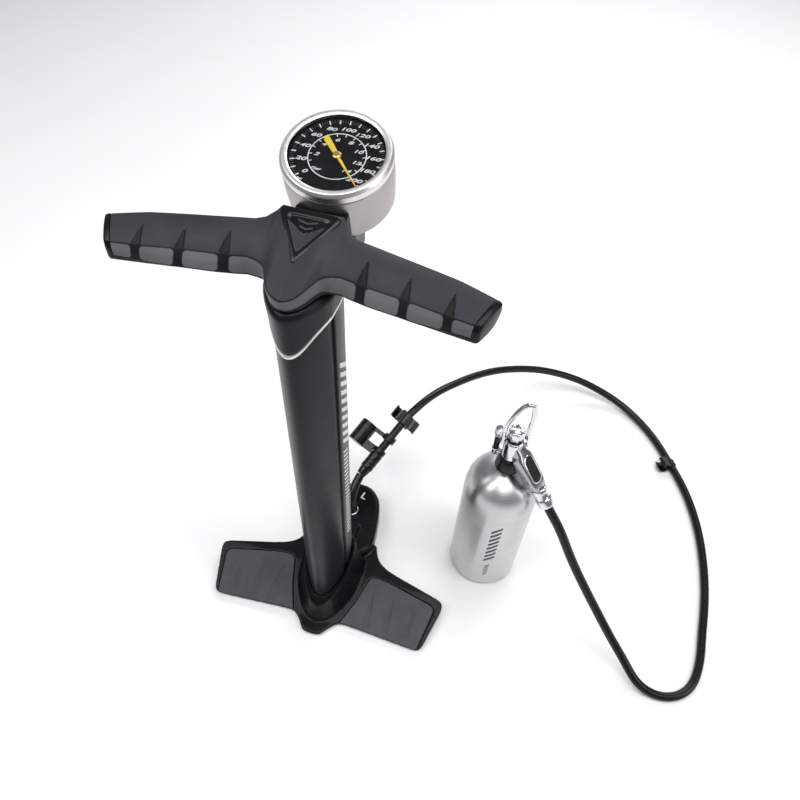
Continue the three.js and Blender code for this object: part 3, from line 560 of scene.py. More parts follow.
# ---- flat shapes and print
def prism(outlines, low, high, to_world):
    """Flat shapes, each a list of corners, as thin closed prisms joined into one mesh."""
    vertices, faces = [], []
    for outline in outlines:
        n, base = len(outline), len(vertices)
        vertices += [to_world(x, y, low) for x, y in outline] + [to_world(x, y, high) for x, y in outline]
        faces.append(tuple(base + i for i in reversed(range(n))))
        faces.append(tuple(base + n + i for i in range(n)))
        faces += [(base + i, base + (i + 1) % n, base + n + (i + 1) % n, base + n + i) for i in range(n)]
    return vertices, faces


def on_matrix(matrix):
    return lambda x, y, z: tuple(matrix @ Vector((x, y, z)))


def lettering(words, to_world, lift, depth=0.12):
    """Text as thin solid letters. Each word is (text, x, y, height, turn, stretch, slant)."""
    vertices, faces = [], []
    for text, x, y, height, turn, stretch, slant in words:
        curve = bpy.data.curves.new("letters", "FONT")
        curve.body = text
        curve.size = height * 1.42
        curve.align_x, curve.align_y = "CENTER", "CENTER"
        curve.shear = slant
        curve.extrude = depth / 2
        curve.offset = 0.03 * height
        curve.resolution_u = 3
        obj = bpy.data.objects.new("letters", curve)
        scene.collection.objects.link(obj)
        bpy.context.view_layer.update()
        mesh = bpy.data.meshes.new_from_object(obj.evaluated_get(bpy.context.evaluated_depsgraph_get()))
        c, s = math.cos(turn), math.sin(turn)
        base = len(vertices)
        for vertex in mesh.vertices:
            a, b = vertex.co.x * stretch, vertex.co.y
            vertices.append(to_world(x + c * a - s * b, y + s * a + c * b, lift + vertex.co.z + depth / 2))
        faces += [tuple(base + i for i in p.vertices) for p in mesh.polygons]
        bpy.data.objects.remove(obj)
        bpy.data.curves.remove(curve)
        bpy.data.meshes.remove(mesh)
    return vertices, faces


def joined(*meshes):
    """Several (vertices, faces) pairs as one."""
    vertices, faces = [], []
    for more, more_faces in meshes:
        faces += [tuple(len(vertices) + i for i in face) for face in more_faces]
        vertices += more
    return vertices, faces


def printed_piece(name, mesh):
    return object_of(name, *mesh, 20.0, weld=True)


# A pattern of slanting strokes runs down the barrel's right side, bold at first and fine below.
MARKS_FRONT, MARKS_TOP = 8.0, 432
SIDE_LINE = barrel_outline()
SIDE_LINE = SIDE_LINE[(SIDE_LINE[:, 0] > 20) & (SIDE_LINE[:, 1] > 4.2) & (SIDE_LINE[:, 1] < 29)]


def side_point(along, across, out):
    """along runs down the barrel, across from its front edge to its rear edge."""
    y = MARKS_FRONT + across
    return (np.interp(y, SIDE_LINE[:, 1], SIDE_LINE[:, 0]) + 0.03 + out, y, MARKS_TOP - along)


def slanting_bars(start, pitch, thick, wide, count, first=0.0):
    """Parallel slanting bars, each as quads short enough to follow a wall, from first across it."""
    quads = []
    cuts = np.linspace(first, first + 1, 5)
    for k in range(count):
        line = start + k * pitch
        quads += [[(line + pitch * lean, wide * share) for lean, share in
                   ((1.2 * a, a), (1.2 * a + thick, a), (1.2 * b + thick, b), (1.2 * b, b))]
                  for a, b in zip(cuts, cuts[1:])]
    return quads


marks = slanting_bars(0, 12.0, 0.5, 15, 10) + slanting_bars(128, 7.0, 0.4, 11, 24)
place(object_of("barrel_strokes", *prism(marks, 0.0, 0.08, side_point), 20), INK)


# ---- pressure gauge
GAUGE_AT = (0, 96.2, 524.2)
GAUGE_TILT = 0.24
GAUGE = Matrix.Translation(GAUGE_AT) @ Matrix.Rotation(GAUGE_TILT, 4, "X")
DIAL_TOP = 43.5
SWEEP = math.radians(135)
PSI_FULL = 200
PSI_PER_BAR = 14.504

turned("gauge_can", [
    (0, 0), (38.8, 0), (41.0, 4), (42.0, 24), (42.0, 41), (40.2, 41), (40.2, 43), (38.4, 43), (38.4, 30),
    (0, 30),
], 128, GAUGE, 1.2, BRUSHED, ["gauge_housing"])
turned("gauge_rim", [
    (35.9, 48.6), (38.6, 47.9), (38.6, 43.3), (40.5, 43.3), (40.5, 41.3), (42.0, 41.3), (42.0, 46.6),
    (40.2, 49.5), (37.2, 49.5),
], 128, GAUGE, 0.6, BEZEL, ["gauge_bezel"], ring=True)
turned("gauge_glass", [
    (0, 46.0), (38.2, 45.8), (38.2, 46.9), (30, 47.3), (15, 47.5), (0, 47.55),
], 96, GAUGE, 0.3, LENS, ["gauge_lens"])
turned("gauge_face", [
    (2.6, 42.5), (37.5, 42.5), (37.5, 43.4), (36.6, DIAL_TOP), (2.6, DIAL_TOP),
], 96, GAUGE, 0.2, DIAL, ["gauge_dial"], ring=True)


def on_dial(x, y, z):
    return tuple(GAUGE @ Vector((x, y, DIAL_TOP + z)))


def arc_bar(radius_in, radius_out, start, stop, steps):
    inner = [(radius_in * math.sin(a), radius_in * math.cos(a)) for a in np.linspace(start, stop, steps)]
    outer = [(radius_out * math.sin(a), radius_out * math.cos(a)) for a in np.linspace(stop, start, steps)]
    return inner + outer


def tick(angle, radius_in, radius_out, width):
    s, c = math.sin(angle), math.cos(angle)
    return [(r * s + side * width * c, r * c - side * width * s)
            for r, side in ((radius_in, -0.5), (radius_out, -0.5), (radius_out, 0.5), (radius_in, 0.5))]


def psi_angle(psi):
    return -SWEEP + 2 * SWEEP * psi / PSI_FULL


def bar_angle(bar):
    return psi_angle(bar * PSI_PER_BAR)


def number(value, angle, r, height):
    return str(value), r * math.sin(angle), r * math.cos(angle), height, 0, 1.7, 0.28


printed = [tick(psi_angle(v), 30.8, 34.4, 1.05) for v in range(0, 201, 10)]
printed += [tick(bar_angle(v), 18.6, 21.2, 0.65) for v in range(0, 14)]
faint = [tick(psi_angle(v), 32.0, 34.2, 0.4) for v in np.arange(0, 200.1, 2.5) if v % 10]
circle = [arc_bar(20.9, 21.7, 2 * math.pi * k / 12, 2 * math.pi * (k + 1) / 12, 9) for k in range(12)]
words = [number(v, psi_angle(v), 26.6 if v < 100 else 25.8, 3.2) for v in range(0, 201, 20)]
words += [number(v, bar_angle(v), 15.4, 2.9) for v in range(2, 15, 2)]
words += [("bar", -10.5, -14.6, 2.3, 0, 1.3, 0.28), ("psi", -20.2, -25.6, 2.1, -0.35, 1.3, 0.28)]
dial_print = joined(prism(printed + circle, 0.02, 0.12, on_dial), lettering(words, on_dial, 0.02))
place(printed_piece("dial_print", dial_print), INK)
fine_ticks = prism(faint, 0.02, 0.08, on_dial)
place(printed_piece("dial_fine_ticks", fine_ticks), FAINT_INK)

NEEDLE_TURN = -2.41
needle_place = GAUGE @ Matrix.Rotation(NEEDLE_TURN, 4, "Z")
needle_plan = [
    (-0.35, 33), (0.35, 33), (1.1, 4), (1.5, 0), (1.9, -4), (2.4, -17.5), (1.9, -19.6), (-1.9, -19.6),
    (-2.4, -17.5), (-1.9, -4), (-1.5, 0), (-1.1, 4),
]
needle = printed_piece("pointer", prism([needle_plan], 44.3, 44.9, on_matrix(needle_place)))
bevel = needle.modifiers.new("bevel", "BEVEL")
bevel.width = 0.00015
bevel.segments = 2
apply_modifiers(needle)
smooth(needle, 30)
place(needle, YELLOW, ["gauge_needle"], body="needle")
turned("pointer_hub", [
    (0, 41.0), (1.6, 41.0), (1.6, 44.0), (3.4, 44.0), (3.4, 45.3), (2.2, 45.9), (0, 45.6),
], 48, GAUGE, 0.3, GOLD, body="needle")


# ---- handle
# The grip's section at each distance a from the middle: the line between its top and its front band,
# the reach of the band, the top's rear line and the top's crown.
FRONT_LINE = np.array([
    (0, -35.2, 533.3), (3, -35.0, 533.6), (6, -33.9, 534.3), (9, -32.0, 535.3), (11.5, -29.6, 536.4),
    (13.5, -26.8, 537.3), (16.6, -20.2, 538.3), (20, -13.0, 539.0), (23.5, -9.9, 539.4), (28, -8.2, 539.8),
    (34, -7.2, 540), (42, -9, 540.3), (55, -12, 541), (84, -15.7, 541), (111, -19, 540), (133, -21.7, 539.8),
    (144, -23, 539.5),
])
BAND_REACH = np.array([
    (0, 1.9, -10.7), (10, 2.4, -11.4), (16, 1.8, -12.2), (22, 0, -13.2), (28, -2, -14), (42, -5, -13),
    (60, -6.5, -12), (90, -6.8, -11.3), (133, -2.5, -11), (144, -2, -11),
])
REAR_LINE = np.array([
    (0, 36, 556), (22.5, 36, 556), (25.5, 32, 553.3), (31, 24.5, 551.5), (38, 21.5, 550.3), (50, 19.2, 550),
    (77, 14, 549), (110, 8, 547), (137, 0.9, 544.8), (144, -0.9, 544.3),
])
CROWN = np.array([(0, 2.8), (30, 3.6), (50, 4.1), (81, 3.1), (111, 2.3), (144, 1.5)])
# Each groove is its apex x and y, the x of its base, and half its width there.
GROOVES = [(111.8, -3.5, 111.3, 3.5), (80.7, 0.2, 80.5, 3.4), (49.6, 6.2, 49.3, 3.9)]
PANELS = [(-1.0, 45.6), (53.0, 77.3), (83.7, 108.1), (114.6, 170.0)]
HANDLE_FLOOR = 521.2
TOP_N, BAND_N = 44, 16                  # points across the top and across the band


def along_table(table, a):
    return np.array([np.interp(a, table[:, 0], table[:, k]) for k in range(1, table.shape[1])])


def ease(t):
    t = np.clip(t, 0, 1)
    return t * t * (3 - 2 * t)


def between(a, b, count):
    """Points from a towards b, without b."""
    return [a + (b - a) * k / count for k in range(count)]


def handle_section(a):
    front, reach = along_table(FRONT_LINE, a), along_table(BAND_REACH, a)
    rear, crown = along_table(REAR_LINE, a), along_table(CROWN, a)[0]
    wing = ease((a - 22) / 12)

    def blend(on_wing, on_hub):
        return np.array(on_wing) * wing + np.array(on_hub) * (1 - wing)

    low = front + reach
    heel = blend(front + (-2, -15.5), (front[0] + 2, HANDLE_FLOOR))
    heel[1] = max(heel[1], HANDLE_FLOOR)
    middle = blend((0.5 * (front[0] + rear[0]), 524.5), (0, 521.0))
    back = blend(rear + (-5, -17), (34, HANDLE_FLOOR))
    shoulder = blend(rear + (0.8, -8), (36, 540))
    points = []
    for k in range(TOP_N):
        v = 1 - k / TOP_N
        y = front[0] + (rear[0] - front[0]) * v
        points.append(np.array((y, front[1] + (rear[1] - front[1]) * v + crown * 4 * v * (1 - v))))
    belly = front + 0.45 * reach + np.array((-0.8, 0.3))
    points += between(front, belly, BAND_N // 2) + between(belly, low, BAND_N // 2)
    points += between(low, heel, 5) + between(heel, middle, 8) + between(middle, back, 8)
    points += between(back, shoulder, 5) + between(shoulder, rear, 5)
    return np.array(points)


def eased_loop(points, passes):
    for _ in range(passes):
        points = 0.25 * np.roll(points, 1, 0) + 0.5 * points + 0.25 * np.roll(points, -1, 0)
    return points


def box_share(x, low, high, y, bottom, top, corner):
    """How far inside a round-cornered rectangle a point is, in millimetres."""
    cx, cy = (low + high) / 2, (bottom + top) / 2
    qx = abs(x - cx) - (high - low) / 2 + corner
    qy = abs(y - cy) - (top - bottom) / 2 + corner
    return corner - (math.hypot(max(qx, 0), max(qy, 0)) + min(max(qx, qy), 0))


def handle_loop(x, scale=1.0):
    """A loop of points across the handle at x, and the four marks of each point."""
    a = abs(x)
    section = eased_loop(handle_section(a), 3)
    middle = section.mean(axis=0)
    section = middle + (section - middle) * scale
    front = along_table(FRONT_LINE, a)
    width = float(np.linalg.norm(along_table(BAND_REACH, a)))
    slant = ease((a - 60) / 80) * 0.438
    loop, marks = [], []
    for k, (y, z) in enumerate(section):
        if k < TOP_N:
            down = -(y - front[0]) / 1.2
        elif k < TOP_N + BAND_N:
            down = width * (k - TOP_N) / BAND_N
        else:
            down = width + min(k - TOP_N - BAND_N, len(section) - k) * 1.4
        top = down < 0
        real_x = a + slant * (y + 0.9)
        panel = max(box_share(real_x, low, high, down, 1.0, width - 0.8, 2.8) for low, high in PANELS)
        groove = -9.0
        if top:
            for apex_x, apex_y, base_x, half in GROOVES:
                t = (y - front[0]) / (apex_y - front[0])
                inside = half * (1 - t) - abs(real_x - (base_x + (apex_x - base_x) * t))
                groove = max(groove, min(inside, (apex_y - y) * 0.6))
        depth = 1.3 * ease((groove + 0.3) / 0.9) - 0.3 * ease((panel + 0.2) / 0.6)
        across = math.copysign(real_x, x) if a > 0 else slant * (y + 0.9)
        loop.append((across, y, z - depth) if top else (across, y + 0.25 * depth, z))
        under = down - width if k >= TOP_N + BAND_N else -abs(width - down)
        marks.append((-abs(down) if top else min(down, 5.0), panel, groove, under))
    return loop, marks


def mark(obj, name, values):
    """A value on each point, for the materials."""
    obj.data.attributes.new(name, "FLOAT", "POINT").data.foreach_set("value", values)


def handle_piece(name, stations):
    loops, marks = [], []
    for x, scale in stations:
        loop, loop_marks = handle_loop(x, scale)
        loops.append(loop)
        marks += loop_marks
    obj = rings(name, loops, sharp=55)
    for column, attribute in enumerate(("band", "panel", "groove", "under")):
        mark(obj, attribute, [m[column] for m in marks])
    return obj


grip = handle_piece("handle_grip", [(x, 1.0) for x in np.linspace(-138.3, 138.3, 330)])
place(grip, GRIP, ["handle_core", "handle_skin"], body="handle")
CAP_STATIONS = [
    (138.8, 0.99), (139.1, 1.0), (140.5, 1.0), (142.0, 0.985), (143.0, 0.95), (143.6, 0.89), (143.9, 0.8),
]
for side, name in ((1, "end_cap_right"), (-1, "end_cap_left")):
    end = handle_piece("handle_" + name, [(side * x, scale) for x, scale in CAP_STATIONS])
    place(end, SOFT_PLASTIC, [name], body="handle")


# ---- emblem
def emblem_outline(rows, steps=7):
    """A closed outline from corners given as (x, y, radius)."""
    out = []
    n = len(rows)
    for i, (x, y, radius) in enumerate(rows):
        here = np.array((x, y), float)
        a, b = np.array(rows[i - 1][:2], float), np.array(rows[(i + 1) % n][:2], float)
        start = here + (a - here) / np.linalg.norm(a - here) * radius
        stop = here + (b - here) / np.linalg.norm(b - here) * radius
        for t in np.linspace(0, 1, steps):
            out.append(tuple((1 - t) ** 2 * start + 2 * t * (1 - t) * here + t * t * stop))
    return out


EMBLEM_TIP_Y, EMBLEM_TIP_Z, EMBLEM_SLOPE = -9.6, 544.1, 0.323


def emblem_plane(y):
    return EMBLEM_TIP_Z + (y - EMBLEM_TIP_Y) * EMBLEM_SLOPE


def emblem_loops(rows):
    """Loops over the emblem from (growth, rise above its plane) rows, outer edge first."""
    loops = []
    for grow, rise in rows:
        corners = [(0, EMBLEM_TIP_Y - 1.8 * grow, 3.0)]
        corners += [(side * (24 + 1.5 * grow), 31.5 + grow, 7.0) for side in (1, -1)]
        loops.append([(x, y, emblem_plane(y) + rise) for x, y in emblem_outline(corners)])
    return loops


emblem = rings("emblem_triangle", emblem_loops([
    (0.2, -3.4), (0.2, -0.2), (0.05, 0.35), (-0.4, 0.6), (-3.6, 0.65), (-4.4, 0.55), (-4.9, -0.15),
    (-5.4, -0.3), (-6.4, -0.3),
]), sharp=60)
place(emblem, GLOSS_PLASTIC, ["emblem_plate"], body="handle")
chevrons = []
for k in range(3):
    y = 13.0 + 4.4 * k
    half = 2.2 + 2.4 * k
    chevrons.append([
        (-half, y + 1.2), (0, y - 0.6), (half, y + 1.2), (half, y + 2.6), (0, y + 0.8), (-half, y + 2.6),
    ])
chevron_mesh = prism(chevrons, -0.29, -0.12, lambda x, y, z: (x, y, emblem_plane(y) + z))
place(printed_piece("emblem_chevrons", chevron_mesh), DARK_INK, body="handle")


# ---- gauge pod and foot
softened_copy("gauge_pod", 0.9, 6, "gauge_saddle", SOFT_PLASTIC)
base = softened_copy("foot_base", 1.1, 5, "foot_shell", SOFT_PLASTIC)

# Each pad has three shallow wedges, given for the left pad as rear point and front edge with a half width.
WEDGE_DEPTH = 0.0006
PAD_WEDGES = [
    ((-114.7, -8.0), (-111.0, -43.0), 4.5), ((-86.0, 1.0), (-85.5, -43.0), 5.2),
    ((-59.0, 6.0), (-61.5, -45.0), 6.0),
]


def pad_piece(node, name):
    obj = softened_copy(node, 0.7, 3, name, TREAD)
    count = len(obj.data.vertices)
    co = np.empty(count * 3)
    obj.data.vertices.foreach_get("co", co)
    co = co.reshape(-1, 3)
    x, y = -np.abs(co[:, 0]) * 1000, co[:, 1] * 1000 - AXIS_Y
    ridge = np.full(count, -5.0)
    for (ax, ay), (bx, by), half in PAD_WEDGES:
        t = (y - ay) / (by - ay)
        inside = half * np.clip(t, 0, 1) - np.abs(x - (ax + (bx - ax) * t))
        ridge = np.maximum(ridge, np.minimum(inside, np.minimum(y - by, ay - y)))
    depth = ease((ridge + 0.4) / 0.9)
    normal = np.empty(count * 3)
    obj.data.vertices.foreach_get("normal", normal)
    co[:, 2] -= depth * WEDGE_DEPTH * (normal.reshape(-1, 3)[:, 2] > 0.5)
    obj.data.vertices.foreach_set("co", co.ravel())
    mark(obj, "ridge", depth)
    obj.data.update()


pad_piece("foot_pad_right", "tread_right")
pad_piece("foot_pad_left", "tread_left")
FEET = {"left": (-122, -22), "right": (122, -22), "front": (0, -50), "rear": (0, 112)}
for where, (x, y) in FEET.items():
    turned("rubber_foot_" + where, [(0, 0), (7.2, 0), (8.0, 1.0), (8.0, 4.2), (0, 4.2)], 48,
           Matrix.Translation((x, y, 0)), 0.4, RUBBER, ["floor_foot_" + where])


# ---- selector, post and elbow
def pipe(name, points, radii):
    """A round bar along a line of points, with a radius for each point."""
    p = np.array(points, float)
    tangent = np.gradient(p, axis=0)
    tangent /= np.linalg.norm(tangent, axis=1)[:, None]
    side = np.cross(tangent[0], (0.3, 0.2, 1.0))
    loops = []
    for here, along_it, r in zip(p, tangent, radii):
        side = side - along_it * np.dot(side, along_it)
        side /= np.linalg.norm(side)
        over = np.cross(along_it, side)
        loops.append([tuple(here + r * (math.cos(a) * side + math.sin(a) * over))
                      for a in np.linspace(0, 2 * math.pi, 32, endpoint=False)])
    return rings(name, loops, sharp=45)


def rounded_box(half_x, half_y, corner, steps=6):
    out = []
    for cx, cy, start in ((1, 1, 0), (-1, 1, 90), (-1, -1, 180), (1, -1, 270)):
        for k in range(steps + 1):
            a = math.radians(start + 90 * k / steps)
            x = cx * (half_x - corner) + corner * math.cos(a)
            out.append((x, cy * (half_y - corner) + corner * math.sin(a)))
    return out


def plate(name, half_x, half_y, corner, low, high, place_at, edge=0.5):
    """A rounded rectangle raised along Z, with its edges rounded."""
    loops = []
    for inset, z in ((edge, low), (edge * 0.3, low + edge * 0.3), (0, low + edge), (0, high - edge),
                     (edge * 0.3, high - edge * 0.3), (edge, high)):
        outline = rounded_box(half_x - inset, half_y - inset, max(corner - inset, 0.2))
        loops.append([tuple(place_at @ Vector((x, y, z))) for x, y in outline])
    return rings(name, loops, sharp=50)


POST = Matrix.Translation((0, 92, 0))
turned("outlet_post", [
    (0, 9.3), (6.2, 9.3), (6.2, 38.8), (8.4, 39.3), (8.4, 42.6), (6.6, 44), (0, 44),
], 64, POST, 0.5, PLASTIC, ["hose_post"])
turned("selector_ring", [
    (6.9, 32.5), (9.6, 32.5), (9.6, 37.4), (8.8, 38.5), (6.9, 38.5),
], 72, POST, 0.5, CHROME, ["selector_dial"], body="selector", ring=True)
selector_tip = POST @ Matrix.Rotation(math.pi * 1.15, 4, "Z") @ Matrix.Translation((15.5, 0, 0))
place(plate("selector_lever", 8, 2.2, 2.0, 33, 37, selector_tip, 0.7), CHROME, body="selector")
elbow_line = relaxed(catmull([
    (0, 92, 46.8), (-0.5, 94.5, 53), (-1.2, 101, 59.5), (-0.8, 110, 65.2), (0.7, 118.6, 69.5),
    (2.3, 125.4, 72.6),
], 8), 3)
share = np.linspace(0, 1, len(elbow_line))
elbow_radii = 5.6 + 1.3 * np.clip(1 - share / 0.12, 0, 1) + 0.5 * np.exp(-((share - 0.4) / 0.25) ** 2)
place(pipe("outlet_elbow", elbow_line, elbow_radii), PLASTIC, ["hose_elbow"])
turned("elbow_collar", [(0, 44.3), (7.4, 44.3), (7.4, 48.2), (6.6, 49), (0, 49)], 64, POST, 0.5, PLASTIC)


def draped(lift):
    """Puts print on the foot's surface from above."""
    def put(x, y, z):
        origin = Vector(metres([(x, y, 150)])[0])
        hit, where, _, _ = base.ray_cast(origin, Vector((0, 0, -1)))
        return (x, y, (where.z * 1000 if hit else 32.0) + lift + z)
    return put


letters = lettering([
    ("L", 9.0, 118.0, 9.5, -0.25, 1.15, 0), ("H", -12.0, 117.0, 9.5, 0.25, 1.15, 0),
], draped(0.05), 0.0)
place(printed_piece("selector_letters", letters), INK)


# ---- pieces on the hose
def along(start, stop):
    """The frame at start whose Z points to stop."""
    direction = (Vector(stop) - Vector(start)).normalized()
    side = Vector((0, 0, 1)).cross(direction).normalized()
    over = direction.cross(side)
    return Matrix((
        (side.x, over.x, direction.x, start[0]), (side.y, over.y, direction.y, start[1]),
        (side.z, over.z, direction.z, start[2]), (0, 0, 0, 1),
    ))


STRAIGHT = along((3.9, 128.8, 74), (40.9, 208.4, 107))
on_hose = [turned("hose_grip_sleeve", [
    (5.4, -3.4), (6.1, -3.4), (7.2, 3), (7.4, 6), (8.4, 7.5), (8.4, 12), (8.0, 12.6), (8.0, 13.4), (8.4, 14),
    (8.4, 18), (8.0, 18.6), (8.0, 19.4), (8.4, 20), (8.4, 29), (7.6, 31), (5.4, 31),
], 72, STRAIGHT, 0.3, PLASTIC, ["hose_sleeve"], ring=True)]
CLIPS = {"head_holder": "head_cup", "hose_x_clip": "double_hook_clip", "hose_clip": "loose_hook_clip"}
for node, name in CLIPS.items():
    on_hose.append(softened_copy(node, 0.5, 5, name, PLASTIC))


# ---- air bottle
BOTTLE_X, BOTTLE_Y, BOTTLE_R = 179, 97.5, 42
VALVE_TURN = -0.35
MARKS_TURN, BOTTLE_MARKS_TOP = math.radians(-79.5), 156
BOTTLE_AT = Matrix.Translation((BOTTLE_X, BOTTLE_Y, 0))
SHOULDER = [
    (BOTTLE_R, 140), (BOTTLE_R, 161), (41.6, 175), (40, 186), (36.3, 195.5), (30.3, 202.8), (22, 208.2),
    (13.5, 211.5), (9.4, 213),
]
turned("air_bottle", [
    (0, 2), (30, 2), (34, 0), (38, 0), (BOTTLE_R, 4.5),
] + [tuple(point) for point in catmull(SHOULDER, 7)] + [
    (8.5, 215), (8.5, 218), (5.6, 218), (5.6, 209), (0, 209),
], 160, BOTTLE_AT, 2.0, BOTTLE_METAL, ["bottle"], sharp=60)
turned("bottle_neck_ring", [
    (8.8, 218.3), (13.2, 218.3), (14.2, 221), (14.0, 227), (12.4, 233), (10.5, 237.5), (8.8, 238),
], 72, BOTTLE_AT, 0.6, GLOSS_PLASTIC, ["bottle_collar"], ring=True)


def bottle_point(down, across, out):
    """down runs from the shoulder towards the base, across round the bottle."""
    angle = MARKS_TURN - across / BOTTLE_R
    r = BOTTLE_R + 0.02 + out
    return (BOTTLE_X + r * math.cos(angle), BOTTLE_Y + r * math.sin(angle), BOTTLE_MARKS_TOP - down)


marks = slanting_bars(8, 10.0, 0.5, 11.5, 8, -0.5) + slanting_bars(98, 5.0, 0.4, 5.0, 6, -0.5)
place(object_of("bottle_bars", *prism(marks, 0.0, 0.06, bottle_point), 20), DARK_INK)
softened_copy("bottle_valve", 0.4, 4, "bottle_valve_body", CHROME)
KNOB_AT = BOTTLE_AT @ Matrix.Rotation(VALVE_TURN, 4, "Z") @ Matrix.Translation((-18, 0, 0))
turned("bleed_stem_post", [(0, 238.3), (3.4, 238.3), (3.4, 261), (0, 261)], 48, KNOB_AT, 0.4, GLOSS_PLASTIC,
       ["bleed_stem"])


def knurled(name, radius, low, high, teeth, depth, place_at, edge=0.6):
    """A round knob with rounded teeth."""
    loops = []
    for inset, z in ((edge, low), (0, low + edge), (0, high - edge), (edge, high)):
        loop = []
        for k in range(teeth * 6):
            a = 2 * math.pi * k / (teeth * 6)
            cut = depth if inset == 0 else 0.3 * depth
            r = radius - inset - cut * (0.5 - 0.5 * math.cos(a * teeth))
            loop.append(tuple(place_at @ Vector((r * math.cos(a), r * math.sin(a), z))))
        loops.append(loop)
    return rings(name, loops, sharp=50)


knob = knurled("bleed_knob_cap", 5.0, 261.3, 272, 16, 0.5, KNOB_AT)
place(knob, CHROME, ["bleed_knob"], body="knob")


# ---- hose head
HEAD_TURN, ARM_HEIGHT, ARM_DROP = -0.388, 262, 0.885
HEAD_AT = BOTTLE_AT @ Matrix.Rotation(HEAD_TURN, 4, "Z")
ARM_AT = HEAD_AT @ Matrix.Translation((0, 0, ARM_HEIGHT)) @ Matrix.Rotation(ARM_DROP, 4, "Y")
ARM_OUT = ARM_AT @ Matrix.Rotation(math.pi / 2, 4, "Y")
head_block = turned("head_barrel", [
    (0, 239), (9, 239), (10, 241), (10, 266), (9, 268), (0, 268),
], 72, HEAD_AT, 0.6, CHROME, ["head_body"])
# The arm's section at each distance down it, as (x, half width, half depth).
ARM_SECTIONS = [
    (3, 6.6, 5.4), (4, 7.4, 6.2), (13, 7.5, 6.3), (16, 8.6, 6.6), (18.5, 10.2, 6.8), (22, 10.8, 6.8),
    (50, 10.8, 6.8), (55, 10.2, 6.8), (59, 9.2, 6.7), (61.2, 8.6, 6.4), (62, 7.6, 5.6),
]
arm_loops = []
for x, half, deep in ARM_SECTIONS:
    arm_loops.append([tuple(ARM_AT @ Vector((x, y, z))) for y, z in rounded_box(half, deep, 3.0)])
head_arm = place(rings("head_arm", arm_loops, sharp=40), SMOKED_CHROME)
inlay_at = ARM_AT @ Matrix.Translation((36, 0, 0))
head_lip = place(plate("inlay_lip", 17.4, 7.5, 6.8, 5.4, 7.3, inlay_at, 0.4), CHROME)
inlay = plate("inlay_pad", 16.4, 6.5, 6.0, 5.4, 7.6, inlay_at, 0.5)
place(inlay, RUBBER, ["head_inlay"])
ribs = [[(x, -5), (x + 1.5, -5), (x + 1.5, 5), (x, 5)] for x in np.arange(-12.0, 11.5, 3.2)]
inlay_ribs = printed_piece("inlay_ribs", prism(ribs, 7.0, 8.0, on_matrix(inlay_at)))
place(inlay_ribs, RUBBER)
seal = turned("head_black_ring", [
    (6.0, 268.3), (8.6, 268.3), (8.9, 269.6), (8.6, 271), (6.0, 271),
], 72, HEAD_AT, 0.4, RUBBER, ["head_seal"], ring=True)
nut = knurled("head_lock_nut", 8.8, 271.3, 285, 8, 0.7, HEAD_AT, 1.2)
place(nut, CHROME, ["head_nut"])
ferrule = turned("hose_end_ferrule", [
    (0, 62.3), (8.6, 62.3), (9.0, 63.5), (9.0, 67), (8.0, 69), (8.0, 75.5), (9.2, 77), (9.2, 85.5),
    (8.2, 87.5), (5.3, 87.5), (5.3, 80), (0, 80),
], 72, ARM_OUT, 0.5, CHROME, ["hose_ferrule"])
softened_copy("head_lever", 0.4, 4, "lock_lever", CHROME, body="lever")
BUTTON_AT = ARM_AT @ Matrix.Translation((28, 0, 0)) @ Matrix.Rotation(-math.pi / 2, 4, "X")
turned("release_pin", [(0, 7.6), (1.9, 7.6), (1.9, 12.4), (0, 12.4)], 32, BUTTON_AT, 0.5, PLASTIC,
       ["release_button"], body="button")

exit_point = [float(v) for v in metres([hose_line[0]])[0]]
on_hose += [head_block, head_arm, head_lip, inlay, inlay_ribs, seal, nut, ferrule, NODES["lever_pin"]]


# ---- rod and the pieces inside
turned("piston_rod", [(0, 46), (6, 46), (6, 534), (0, 534)], 64, None, 0.4, CHROME, ["rod"],
       body="handle")


def coated(material, *nodes):
    for name in nodes:
        NODES[name].data.materials.clear()
        NODES[name].data.materials.append(material)


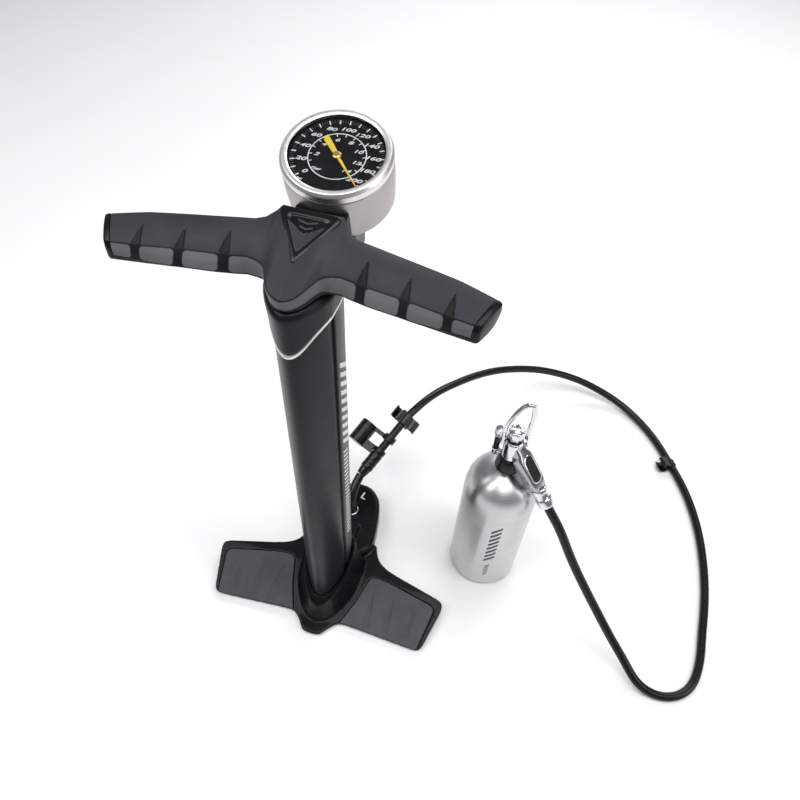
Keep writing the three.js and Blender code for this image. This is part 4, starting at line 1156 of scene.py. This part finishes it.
coated(STEEL, "inner_cylinder", "check_valve_ball", "check_valve_spring", "gauge_air_tube", "handle_bolt",
       "lever_pin")
coated(BRASS, "base_plug", "rod_guide", "gauge_stem", "bourdon_tube")
coated(RUBBER, "plug_seal", "piston_seal", "rod_bumper")
coated(PLASTIC, "piston")


# ---- floor and light
def floor_finish():
    g = Graph("pale_floor")
    tint = g.mixed(g.ranged(g.noise(1.5), 0, 1), (0.93, 0.93, 0.93), (0.95, 0.95, 0.95))
    g.link(tint, g.shader.inputs["Base Color"])
    g.link(g.ranged(g.noise(6), 0.55, 0.65), g.shader.inputs["Roughness"])
    return g.material


floor_mesh = bpy.data.meshes.new("studio_floor")
floor_mesh.from_pydata([(-8, -8, 0), (8, -8, 0), (8, 8, 0), (-8, 8, 0)], [], [(0, 1, 2, 3)])
floor = bpy.data.objects.new("studio_floor", floor_mesh)
scene.collection.objects.link(floor)
floor.data.materials.append(floor_finish())


def softbox(name, place_at, target, size, power, size_y=None):
    data = bpy.data.lights.new(name, "AREA")
    data.shape = "RECTANGLE"
    data.size, data.size_y = size, size_y or size
    data.energy = power
    obj = bpy.data.objects.new(name, data)
    obj.location = place_at
    obj.rotation_mode = "QUATERNION"
    obj.rotation_quaternion = (Vector(target) - Vector(place_at)).to_track_quat("-Z", "Y")
    scene.collection.objects.link(obj)
    return obj


softbox("key_light", (-0.9, -0.5, 1.9), (0.1, 0.1, 0.2), 1.1, 17)
softbox("fill_light", (1.6, -0.1, 1.1), (0.1, 0.1, 0.25), 0.7, 9, 1.4)
softbox("back_light", (0.3, 1.9, 1.6), (0.1, 0.35, 0.0), 1.8, 22, 0.8)
softbox("top_light", (0.45, -0.2, 2.4), (0.2, 0.1, 0.0), 1.4, 28)

world = bpy.data.worlds.new("studio")
world.use_nodes = True
scene.world = world
world.node_tree.nodes["Background"].inputs["Color"].default_value = (0.93, 0.95, 1.0, 1)
world.node_tree.nodes["Background"].inputs["Strength"].default_value = 0.22
scene.view_settings.view_transform = "Standard"
